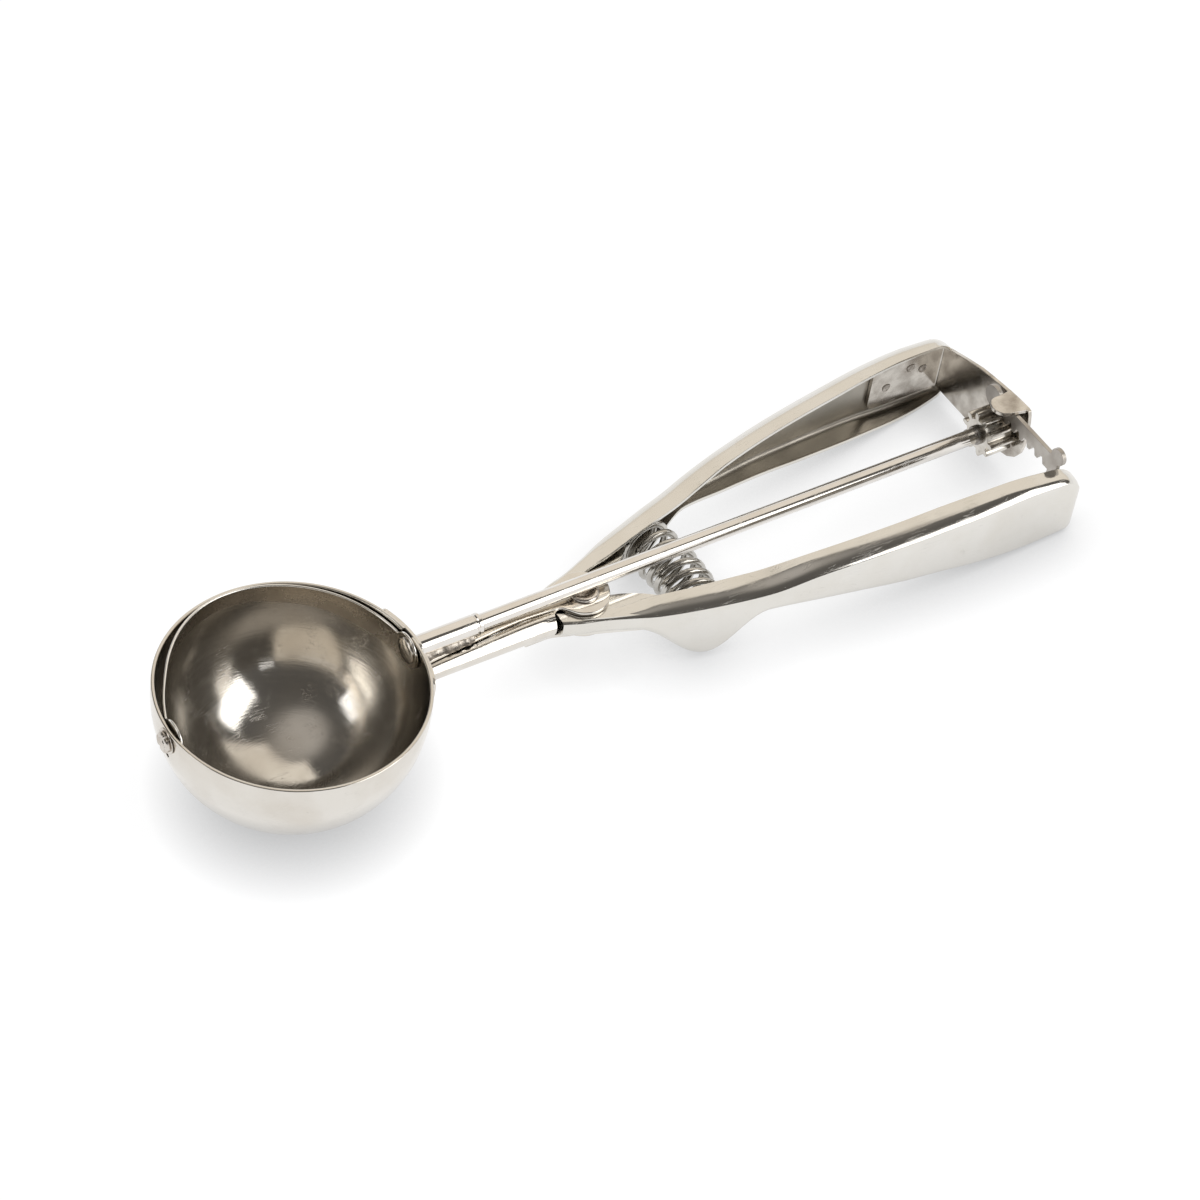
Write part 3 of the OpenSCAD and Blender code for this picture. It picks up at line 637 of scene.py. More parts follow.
WIRE_STEEL = Steel("spring wire", Slot.SPRING, (0.60, 0.58, 0.54), (0.36, 0.34, 0.31), 0.16, spread=0.1,
                   patch=4, lay=Lay.NONE, lines=0.003, waves=0.0, scratched=0.4)
WELD_STEEL = Steel("weld metal", Slot.WELD, (0.50, 0.46, 0.41), (0.24, 0.21, 0.18), 0.34, spread=0.2,
                   patch=1.0, stained=0.9, lay=Lay.NONE, lines=0.006, waves=0.03, wave_size=1.2,
                   scratched=0.0, pitted=0.02)


# ---- pieces ----------------------------------------------------------------------------------


def bend_normals(mesh: bpy.types.Mesh, sharp: float) -> None:
    """Merges doubled points, points the faces outwards and shades all but sharp edges smooth.

    Args:
        mesh: the mesh.
        sharp: edges bent by more than this many degrees stay sharp.
    """
    work = bmesh.new()
    work.from_mesh(mesh)
    bmesh.ops.remove_doubles(work, verts=work.verts, dist=2e-6)
    bmesh.ops.dissolve_degenerate(work, edges=work.edges, dist=1e-7)
    bmesh.ops.recalc_face_normals(work, faces=work.faces)
    work.to_mesh(mesh)
    work.free()
    mesh.shade_smooth()
    mesh.set_sharp_from_angle(angle=math.radians(sharp))


def in_scene(name: str, data: bpy.types.ID) -> bpy.types.Object:
    """Puts an object with some data into the scene.

    Args:
        name: the object's name.
        data: its mesh, light or camera.
    Returns:
        The object.
    """
    made = bpy.data.objects.new(name, data)
    bpy.context.scene.collection.objects.link(made)
    return made


def loose_object(name: str, shape: Shape, sharp: float = 35.0) -> bpy.types.Object:
    """Makes a shape into an object in the frame, not yet riding on anything.

    Args:
        name: the object's name.
        shape: points in tool millimetres with their faces.
        sharp: edges bent by more than this many degrees stay sharp.
    Returns:
        The object.
    """
    mesh = bpy.data.meshes.new(name)
    mesh.from_pydata(TOOL.to_row(np.concatenate(shape.points)), [], shape.faces)
    if shape.inside is not None:
        mesh.attributes.new("inside", "FLOAT", "POINT").data.foreach_set("value", shape.inside)
    bend_normals(mesh, sharp)
    return in_scene(name, mesh)


@dataclass
class Piece:
    """A visible object, and how it is handed over to the frame.

    Attributes:
        name: the object's name.
        shape: its shape before any hole is cut.
        body: what it moves with.
        steel: its finish.
        node: the CAD node it stands for, if any.
        sharp: edges bent by more than this many degrees stay sharp.
        holes: solids that are cut out of it.
        soft: how far sharp edges are rounded, in millimetres.
        soft_angle: edges bent by more than this many degrees are rounded.
        between: for a piece that spans the frame and the squeezed handle, its point on each;
        such a piece is left unattached in the frame.
    """

    name: str
    shape: Shape
    body: Body
    steel: Steel
    node: str = ""
    sharp: float = 35.0
    holes: Sequence[Shape] = ()
    soft: float = 0.0
    soft_angle: float = 50.0
    between: Optional[Array] = None

    def cut(self, made: bpy.types.Object) -> None:
        """Cuts the holes.

        Args:
            made: the piece's object.
        """
        cutters = [loose_object("cutter", hole) for hole in self.holes]
        for cutter in cutters:
            step = made.modifiers.new("cut", "BOOLEAN")
            step.operation, step.solver, step.object = "DIFFERENCE", "EXACT", cutter
        self.bake(made)
        for cutter in cutters:
            bpy.data.objects.remove(cutter)
        bend_normals(made.data, self.sharp)

    def soften(self, made: bpy.types.Object) -> None:
        """Rounds the sharp edges.

        Args:
            made: the piece's object.
        """
        step = made.modifiers.new("soften", "BEVEL")
        step.width, step.segments = self.soft / 1000, 2
        step.limit_method, step.angle_limit = "ANGLE", math.radians(self.soft_angle)
        step.harden_normals = True
        self.bake(made)

    def bake(self, made: bpy.types.Object) -> None:
        """Applies all modifiers to the mesh.

        Args:
            made: the piece's object.
        """
        bpy.context.view_layer.update()
        shown = made.evaluated_get(bpy.context.evaluated_depsgraph_get())
        mesh, old = bpy.data.meshes.new_from_object(shown), made.data
        made.modifiers.clear()
        made.data = mesh
        bpy.data.meshes.remove(old)

    def make(self) -> None:
        """Builds the object, dresses it, hides its node and lets it ride on its body; one with between
        points is left unattached.
        """
        made = loose_object(self.name, self.shape, self.sharp)
        if self.holes:
            self.cut(made)
        if self.soft:
            self.soften(made)
        made.data.materials.clear()
        made.data.materials.append(self.steel.material())
        if self.node:
            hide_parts(self.node)
        if self.between is None:
            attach(made, self.body.value)
        else:
            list(TOOL.to_row(self.between).tolist())
            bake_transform(made)
        log.info("%s: %d faces on %s", made.name, len(made.data.polygons), self.body.value)


# ---- bowl and scraper ------------------------------------------------------------------------


@dataclass
class Bowl:
    """The hemisphere with a short straight wall, its holes and its slot."""

    outer_r: float = 28.0
    wall: float = 0.8
    wall_z: float = 0.5
    rim_rise: float = 2.9
    rim_round: float = 0.3
    slot_y: Pair = (0.3, 3.3)
    spindle_r: float = 1.9
    tip_r: float = 1.4
    drain_r: float = 0.7
    drain_z: float = -1.2
    drain_tilt: float = -6.0
    reach: float = 3.0
    steps: int = 200

    def profile(self) -> Array:
        """Outside, round rim and inside: two quarter circles and two walls.

        Returns:
            Points as (height, radius).
        """
        e, outer_r, inner_r = self.rim_round, self.outer_r, self.outer_r - self.wall
        top = self.rim_rise - e
        walls = np.linspace(self.wall_z, top, 5)
        return np.concatenate([
            arc((0, 0), outer_r, 180, 90, 60), xyz(walls, outer_r)[:-1],
            arc((top, outer_r - e), e, 90, 0, 4), arc((top, inner_r + e), e, 0, -90, 4),
            xyz(walls, inner_r)[-2::-1], arc((0, 0), inner_r, 90, 180, 60)])

    def holes(self) -> list[Shape]:
        """Solids for the spindle's slot and hole, the tip pin's hole and the drain.

        Returns:
            A square bar and three turned rods.
        """
        inner, outer = self.outer_r - self.wall - self.reach, self.outer_r + 1
        y0, y1 = self.slot_y
        drain = drill(-outer, -inner, self.drain_r, 24).moved(0, 0, self.drain_z)
        return [slab(oblong(y0, 0, y1, self.rim_rise + 2), inner, outer + 1),
                drill(inner, outer, self.spindle_r, 48), drill(-outer, -inner, self.tip_r, 32),
                drain.turned(Axis.Y, self.drain_tilt)]

    def pieces(self) -> list[Piece]:
        """The bowl."""
        shell = revolve(self.profile(), self.steps, Axis.Z)
        return [Piece("bowl_shell", shell, Body.FRAME, BOWL_STEEL, "bowl", holes=self.holes())]


@dataclass
class Scraper:
    """The band that sweeps the bowl, with a round lug on each end of the spindle's axis."""

    radius: Curve = ((-20, 26.95), (60, 26.95), (95, 26.9), (120, 26.3), (135, 25.8), (150, 25.6),
                     (166, 26.3), (176, 26.95), (200, 26.95))
    top: Curve = ((-20, 1.6), (0, 1.7), (15, 1.9), (31, 2.3), (46, 2.7), (61, 3.1), (75, 3.5), (90, 3.8),
                  (105, 4.1), (120, 4.1), (135, 3.6), (150, 2.8), (170, 1.6), (200, 1.0))
    low: Curve = ((-20, -3.6), (15, -3.9), (31, -3.75), (45, -2.8), (68, -1.8), (78, -1.0), (90, -0.6),
                  (105, -0.6), (120, -0.9), (135, -1.6), (150, -2.6), (170, -3.8), (200, -3.8))
    lug_r: float = 4.0
    lug_only_y: float = 0.6
    sheet: float = 0.5
    edge: float = 0.175
    edge_fall: float = 0.3
    bead_r: float = 0.27
    bead_sink: float = 0.6
    across: int = 12

    def edges(self, angle: Array, y: Array) -> tuple[Array, Array]:
        """Upper and lower edge: the band's own, or the lug's circle where that reaches further."""
        lug, inside = root(self.lug_r ** 2 - y ** 2), y > self.lug_only_y
        return (np.where(inside, np.maximum(through(self.top, angle), lug), lug)[:, None],
                np.where(inside, np.minimum(through(self.low, angle), -lug), -lug)[:, None])

    def pieces(self) -> list[Piece]:
        """The band and the ground upper edge.

        At each angle about the bowl's axis the band's section runs from the lower to the
        upper edge on a circle about the bowl's centre, out and back one sheet further in.
        The ground edge is a small circle carried along the middle of the sheet's edge.

        Returns:
            Both pieces.
        """
        start = sweep(3, 84, 12)
        lead = np.degrees(np.arcsin(-self.lug_r * np.cos(start) / self.radius[0][1]))
        angle = np.concatenate([lead, np.linspace(0, 180, 141), 180 - lead[::-1]])[:, None]
        outer, a = through(self.radius, angle), np.radians(angle)
        top, low = self.edges(angle[:, 0], (outer * np.sin(a))[:, 0])
        e, n = self.edge, self.across
        out = low + e + (top - low - 2 * e) * np.linspace(0, 1, n)
        upper, lower = top - e * self.edge_fall, low + e * self.edge_fall
        z = np.hstack([out, upper, upper, out[:, ::-1], lower, lower])
        inset = np.hstack([np.zeros(n), e, self.sheet - e, np.full(n, self.sheet), self.sheet - e, e])
        band = Shape().add_sweep(polar(root((outer - inset) ** 2 - z ** 2), a, z))
        b = all_round(10)
        rho = np.sqrt((outer - self.sheet / 2) ** 2 - top ** 2) + self.bead_r * np.cos(b)
        bead = Shape().add_sweep(polar(rho, a, top + self.bead_r * (np.sin(b) - self.bead_sink)))
        return [Piece("scraper_band", band, Body.SPINDLE, BAND_STEEL, "scraper", sharp=50),
                Piece("scraper_edge", bead, Body.SPINDLE, EDGE_STEEL, sharp=60)]


# ---- spindle, sleeve and tip pin -------------------------------------------------------------


@dataclass
class Spindle:
    """The long rod with its square tenon and riveted end, its sleeve, collar and clip."""

    rod_r: float = 1.75
    rod_x: Pair = (27.0, 180.2)
    head_x: Pair = (25.65, 26.33)
    head_r: float = 2.9
    head_edge: float = 0.15
    tenon: float = 2.2
    sleeve_x: Pair = (28.05, 43.5)
    sleeve_r: float = 2.25
    sleeve_bore: float = 1.8
    ring_x: float = 42.3
    seam: float = 0.12
    seam_len: float = 6.5
    seam_turn: float = 48.0
    clip_x: Pair = (178.35, 178.95)
    clip_r: float = 3.25
    clip_span: Pair = (125, 415)
    collar_x: Pair = (169.1, 170.0)
    collar_r: float = 2.15
    braze_leg: float = 0.6
    floor_z: float = -2.25

    def rod(self) -> list[Piece]:
        """The rod with its end turned down a little, and its tenon with a domed head.

        The rod and the head are profiles turned round the spindle, the dome a quarter
        ellipse; the tenon is a square bar.

        Returns:
            The three pieces.
        """
        (x0, x1), (h0, h1), r, t, e = self.rod_x, self.head_x, self.rod_r, self.tenon / 2, self.head_edge
        bar = np.array([(x0, 0), (x0, r - 0.15), (x0 + 0.15, r), (x1 - 0.35, r), (x1 - 0.1, r - 0.15),
                        (x1, r - 0.45), (x1, 0)])
        swell = sweep(0, 90, 9)
        dome = np.concatenate([[(h1, 0), (h1, self.head_r)],
                               xyz(h1 - e - (h1 - e - h0) * np.sin(swell), self.head_r * np.cos(swell))])
        return [Piece("spindle_rod_bar", revolve(bar, 48), Body.SPINDLE, ROD_STEEL, "spindle_rod"),
                Piece("spindle_tenon", slab(oblong(-t, -t, t, t), h1 - 0.2, x0 + 0.1), Body.SPINDLE,
                      PIN_STEEL),
                Piece("spindle_head", revolve(dome, 40), Body.SPINDLE, ROD_STEEL)]

    def sleeve(self) -> Piece:
        """The rolled sleeve: a turned profile with a pressed ring near its end and an open seam.

        Returns:
            The piece.
        """
        (x0, x1), r, b, g = self.sleeve_x, self.sleeve_r, self.sleeve_bore, self.ring_x
        tube = np.array([(x0, b), (x0, r - 0.15), (x0 + 0.15, r), (g - 0.35, r), (g - 0.12, r - 0.22),
                         (g + 0.12, r - 0.22), (g + 0.35, r), (x1 - 0.2, r), (x1, r - 0.2), (x1, b)])
        seam = slab(oblong(-self.seam, 1.0, self.seam, 3.0), x1 - self.seam_len, x1 + 1)
        return Piece("sleeve_tube", revolve(tube, 64), Body.FRAME, ROD_STEEL, "spindle_sleeve",
                     holes=[seam.turned(Axis.X, self.seam_turn)])

    def braze(self) -> Piece:
        """A lumpy fillet on each side of the sleeve.

        The section is a triangle between sleeve and strip whose slanted side sags; its leg
        swells and thins along the sleeve as a sum of two sines.

        Returns:
            The piece.
        """
        x = np.linspace(self.sleeve_x[0] + 0.2, self.sleeve_x[1] - 2.0, 60)[:, None]
        fade = smooth_step(x[0] - 0.5, x[0] + 2, x) * (1 - smooth_step(x[-1] - 2, x[-1] + 0.3, x))
        t, both = np.linspace(0, 1, 7), Shape()
        for side, phase in ((-1, 0.0), (1, 2.0)):
            lumps = 1 + 0.22 * np.sin(x * 1.1 + phase) + 0.14 * np.sin(x * 2.7 + 1 + phase)
            leg = self.braze_leg * lumps * fade
            y = side * (self.sleeve_r * 0.55 + (leg + self.sleeve_r * 0.45) * (1 - t) ** 1.4)
            slant = xyz(x, y, self.floor_z + 0.02 + (leg + 0.9) * t ** 1.4)
            both.add_sweep(np.hstack([slant, xyz(x, side * 0.4, self.floor_z - 0.1)]))
        return Piece("sleeve_fillets", both, Body.FRAME, WELD_STEEL, "sleeve_braze", sharp=60)

    def pieces(self) -> list[Piece]:
        """All of it, with the split clip behind the bracket and the dark collar before the pinion.

        Returns:
            Every piece on the spindle's axis but the tip pin.
        """
        clip = revolve(rod_profile(*self.clip_x, self.clip_r, 0.1, self.rod_r), 48, span=self.clip_span)
        collar = revolve(rod_profile(*self.collar_x, self.collar_r, 0.15, self.rod_r), 40)
        return [*self.rod(), self.sleeve(), self.braze(),
                Piece("clip_ring", clip, Body.SPINDLE, WIRE_STEEL, "rod_clip"),
                Piece("collar_ring", collar, Body.SPINDLE, DARK_STEEL, "pinion_collar")]


@dataclass
class TipPin:
    """The pin through the bowl's tip, crimped outside over a washer and swaged inside."""

    wall_x: float = -28.0
    washer: float = 0.3
    washer_r: float = 2.8
    head_r: float = 2.3
    head_len: float = 1.0
    pin_r: float = 1.4
    inner_x: float = -26.33
    inner_len: float = 0.68
    petals: int = 4

    def pieces(self) -> list[Piece]:
        """The washer, and the pin with its crimped head.

        The head's radius dips at each of its petals' joints by a power of a cosine, and
        its face is dished towards the middle.

        Returns:
            Both pieces.
        """
        w0 = self.wall_x - self.washer
        ring = rod_profile(w0, self.wall_x, self.washer_r, 0.08, self.pin_r - 0.05)
        a = all_round(96)[:, None]
        joint = np.abs(np.cos(a * self.petals / 2)) ** 14
        end = w0 - self.head_len
        x, r = np.array([(w0, 0.3), (w0, 0.93), (w0 - 0.25, 1.0), (w0 - 0.6, 0.99), (end + 0.12, 0.9),
                         (end, 0.76), (end + 0.05, 0.62), (end + 0.3, 0.45), (end + 0.5, 0.3),
                         (end + 0.55, 0.0)]).T
        joint = joint * (r > 0.5)
        r = r * self.head_r * (1 - 0.2 * joint)
        head = Shape().add_sweep(xyz(x + 0.12 * joint, r * np.cos(a + 0.4), r * np.sin(a + 0.4)), wrap=True)
        inner = revolve(rod_profile(self.inner_x, self.inner_x + self.inner_len, self.pin_r + 0.8, 0.3), 40)
        pin = revolve(rod_profile(w0, self.inner_x, self.pin_r, 0.1), 40).add(head).add(inner)
        return [Piece("tip_washer_ring", revolve(ring, 40), Body.FRAME, PIN_STEEL, "tip_washer"),
                Piece("tip_pin_body", pin, Body.FRAME, PIN_STEEL, "tip_pin")]


# ---- shank and pivot -------------------------------------------------------------------------


@dataclass
class Shank:
    """One sheet: a flat strip with a lug on top, rolled round underneath into a tube."""

    bowl_r: float = 28.0
    sheet: float = 1.0
    strip_z: float = -2.25
    lug_z: float = -2.7
    near: Curve = ((20, -3.4), (27, -3.3), (32, -2.9), (43, -2.0), (53, -1.3), (59, -1.45), (61.2, -1.75),
                   (62.5, -1.9), (63.7, -3.2), (65.1, -4.7), (67, -5.65), (69.3, -5.9), (71.8, -5.0),
                   (73.7, -3.0), (74.6, -1.2), (74.9, 0.0))
    far: Curve = ((20, 3.4), (57, 3.4), (60, 3.6), (63, 4.0), (65, 4.9), (67, 5.6), (69, 5.9), (71.8, 5.15),
                  (73.7, 3.4), (74.6, 1.9), (74.9, 0.3))
    roll_z: float = -5.4
    section: Curve = ((80, 4.5), (120, 4.4), (141.6, 4.27), (149, 4.32), (156, 4.45), (163, 4.64),
                      (169, 4.89), (174, 5.02), (179, 5.07), (186, 5.03), (194, 4.87), (203, 4.62),
                      (217, 4.5), (240, 4.5), (420, 4.5))
    roll_end: Curve = ((90, 61.6), (120, 61.6), (135, 60.3), (165, 59.8), (200, 59.0), (225, 58.5),
                       (270, 58.3), (315, 58.5), (350, 59.4), (380, 60.4), (415, 61.0))
    low_lug_top: float = -8.8
    low_lug_r: float = 6.1
    pivot_x: float = 69.0
    low_lug_x: Pair = (54.0, 74.3)
    saddles: tuple[tuple[float, float, float], ...] = ((-24.0, -6.0, 2.0), (-6.0, 22.0, 2.75))
    saddle_low: float = -3.2

    def ribbon(self, x: Array, y0: Array, y1: Array, top: Array, across: int = 9) -> Shape:
        """A flat sheet between two edges, its edges rounded.

        Args:
            x: stations along the tool.
            y0: near edge at each.
            y1: far edge at each.
            top: height of the upper face at each.
            across: points across each face.
        Returns:
            The sheet, starting on the bowl.
        """
        x, y0, y1, top = (v[:, None] for v in np.broadcast_arrays(x, y0, y1, top))
        e, half, turn = np.minimum(0.25, (y1 - y0) / 2.2), self.sheet / 2, np.radians([60, 20, -20, -60])
        flat = y0 + e + (y1 - y0 - 2 * e) * np.linspace(0, 1, across)
        far, near = y1 - e + e * np.cos(turn), y0 + e - e * np.cos(turn)
        rise = np.sign(np.sin(turn)) * (half - e + e * np.abs(np.sin(turn)))
        level = np.full_like(flat, half)
        y = np.hstack([flat, far, flat[:, ::-1], near[:, ::-1]])
        z = np.hstack([level, rise, -level, rise[:, ::-1]]) + top - half
        return Shape().add_sweep(self.meet_bowl(xyz(x, y, z)))

    def meet_bowl(self, loops: Array, depth: float = 0.3) -> Array:
        """Starts loops on the bowl: each point no nearer than its own place on the sphere."""
        x, y, z = np.moveaxis(loops, -1, 0)
        return xyz(np.maximum(x, root((self.bowl_r - depth) ** 2 - y ** 2 - z ** 2)), y, z)

    def strip(self) -> Shape:
        """The flat strip from the bowl to the upper lug.

        Its edges are smooth curves over its length, and its face drops by a smooth step
        before the lug.

        Returns:
            The strip.
        """
        x = np.concatenate([np.linspace(25.8, 60.0, 36), 61.0 + 13.85 * np.sin(sweep(0, 90, 40))])
        top = self.strip_z + (self.lug_z - self.strip_z) * smooth_step(46, 59, x)
        return self.ribbon(x, through(self.near, x), through(self.far, x), top)

    def roll(self) -> Shape:
        """The rolled part below the strip.

        The sheet's middle line is the section's polar curve about the tube's axis, held
        under the strip's height: the smaller of the curve and of height / sine, rounded
        where they meet.  It runs from the groove beside the strip down the near side, round
        the bottom and up to the far edge.  The far end of the tube is cut at a slant and
        flares a little.

        Returns:
            The roll.
        """
        stations, turns, start, last = 48, 84, 24.5, 410
        u, share = np.linspace(0, 1, stations)[:, None], np.linspace(0, 1, turns)
        beside = through(self.near, np.linspace(27, 60, stations)) - 0.35
        groove = np.degrees(np.arctan2(2.65, beside))[:, None]
        angle = np.radians(groove + (last - groove) * share)
        sine = np.sin(angle)
        flat = np.where(sine > 0.05, 2.55 / np.maximum(sine, 1e-3), 50.0)
        curve = through(self.section, np.degrees(angle)) - self.sheet / 2
        middle = (curve ** -8.0 + flat ** -8.0) ** (-1 / 8)
        x = start + (through(self.roll_end, np.degrees(angle)) - start) * u
        flare = 1 + 0.035 * smooth_step(0.9, 1.0, u) * (sine < 0.5)
        dip = 0.35 * np.exp(-(share * turns / 3.0) ** 2)
        faces = []
        for half, way in ((self.sheet / 2, 1), (-self.sheet / 2, -1)):
            radius = (middle + half) * flare
            face = xyz(x, radius * np.cos(angle), self.roll_z + radius * sine - dip)
            faces.append(face[:, ::way])
        return Shape().add_sweep(self.meet_bowl(np.hstack(faces)))

    def low_lug(self) -> Shape:
        """The lower lug: a tongue out of the roll's bottom that widens round the rivet.

        Half its width is the larger of a neck that grows by a smooth step and of a circle
        about the rivet.

        Returns:
            The lug.
        """
        x0, x1 = self.low_lug_x
        x = np.concatenate([np.linspace(x0, 61.5, 10), 62 + (x1 - 62) * np.sin(sweep(0, 90, 36))])
        disc = np.sqrt(np.maximum(self.low_lug_r ** 2 - (x - self.pivot_x) ** 2, 0.01))
        neck = 2.9 + 1.6 * smooth_step(59, 65.5, x)
        width = np.where(x < self.pivot_x - 2.4, np.maximum(neck, disc), disc)
        return self.ribbon(x, -width, width, np.array(self.low_lug_top))

    def saddle(self) -> Shape:
        """The end of the sheet laid against the bowl under its rim, patches of a larger sphere.

        Each patch runs between two angles about the bowl's axis; its upper corners are
        quarter circles and its upper edge is rounded.

        Returns:
            Both patches.
        """
        both, low, n = Shape(), self.saddle_low, 10
        r_out, r_in = self.bowl_r + self.sheet * 0.75, self.bowl_r - 0.15
        r = np.hstack([np.full(n, r_out), r_out - 0.08, r_out - 0.3, np.full(n, r_in), (r_out + r_in) / 2])
        for first, last, high in self.saddles:
            a = sweep(first, last, 48)[:, None]
            reach = self.bowl_r * np.minimum(a - a[0], a[-1] - a)
            top = high - round_in(1.6, reach)
            out = low + 0.2 + (top - low - 0.45) * np.linspace(0, 1, n)
            z = np.hstack([out, top - 0.08, top, out[:, ::-1], np.full_like(top, low)])
            both.add_sweep(polar(root(r ** 2 - np.minimum(z, 0) ** 2), a, z))
        return both

    def weld(self) -> Shape:
        """The bead where the tube meets the bowl: a lumpy ring that follows the sphere.

        A small circle, whose size is a sum of two sines, is carried along the roll's section.

        Returns:
            The bead.
        """
        a, b = sweep(140, 400, 120)[:, None], all_round(10)
        size = 0.6 * (1 + 0.25 * np.sin(a * 7) + 0.15 * np.sin(a * 17 + 1)) * 0.8
        radius = through(self.section, np.degrees(a)) + size * np.cos(b)
        y, z = radius * np.cos(a), np.minimum(self.roll_z + radius * np.sin(a), self.strip_z)
        return Shape().add_sweep(xyz(np.sqrt(self.bowl_r ** 2 - y ** 2 - z ** 2) + size * np.sin(b), y, z))

    def pieces(self) -> list[Piece]:
        """The parts of the sheet and the bead."""
        return [Piece("shank_strip", self.strip(), Body.FRAME, SHANK_STEEL, "shank", sharp=50),
                Piece("shank_roll", self.roll(), Body.FRAME, SHANK_STEEL, sharp=50),
                Piece("shank_low_lug", self.low_lug(), Body.FRAME, SHANK_STEEL, sharp=50),
                Piece("shank_saddle", self.saddle(), Body.FRAME, SHANK_STEEL, sharp=50),
                Piece("shank_bead", self.weld(), Body.FRAME, WELD_STEEL, "shank_weld", sharp=60)]


@dataclass
class Pivot:
    """The rivet through the lugs and ears, with a dished head and a washer below."""

    x: float = 69.0
    pin_r: float = 2.0
    head_r: float = 3.3
    lug_z: float = -2.7
    head_h: float = 0.75
    washer_z: Pair = (-10.3, -9.8)
    washer_r: float = 4.0
    tail_h: float = 0.8

    def pieces(self) -> list[Piece]:
        """The rivet, from its flat lower head to its dished upper one, and the washer.

        Returns:
            Both pieces, profiles turned round the rivet's axis.
        """
        w0, lug, r, pin = self.washer_z[0], self.lug_z, self.head_r, self.pin_r
        top, tail = lug + self.head_h, w0 - self.tail_h
        rivet = np.array([(tail, 0), (tail, 1.4), (tail + 0.1, 2.4), (tail + 0.4, 3.1), (w0, r), (w0, pin),
                          (lug, pin), (lug, r), (lug + 0.35, r), (top - 0.12, r - 0.2), (top, r - 0.5),
                          (top - 0.05, r - 0.85), (top - 0.3, 1.5), (top - 0.38, 0.9), (top - 0.4, 0)])
        made = [revolve(profile, 64, axis=Axis.Z).moved(self.x, 0, 0)
                for profile in (rivet, rod_profile(*self.washer_z, self.washer_r, 0.1, pin))]
        return [Piece("pivot_rivet_body", made[0], Body.FRAME, PIN_STEEL, "pivot_rivet", sharp=40),
                Piece("pivot_washer", made[1], Body.FRAME, PIN_STEEL, "rivet_washer")]


# ---- handles ---------------------------------------------------------------------------------


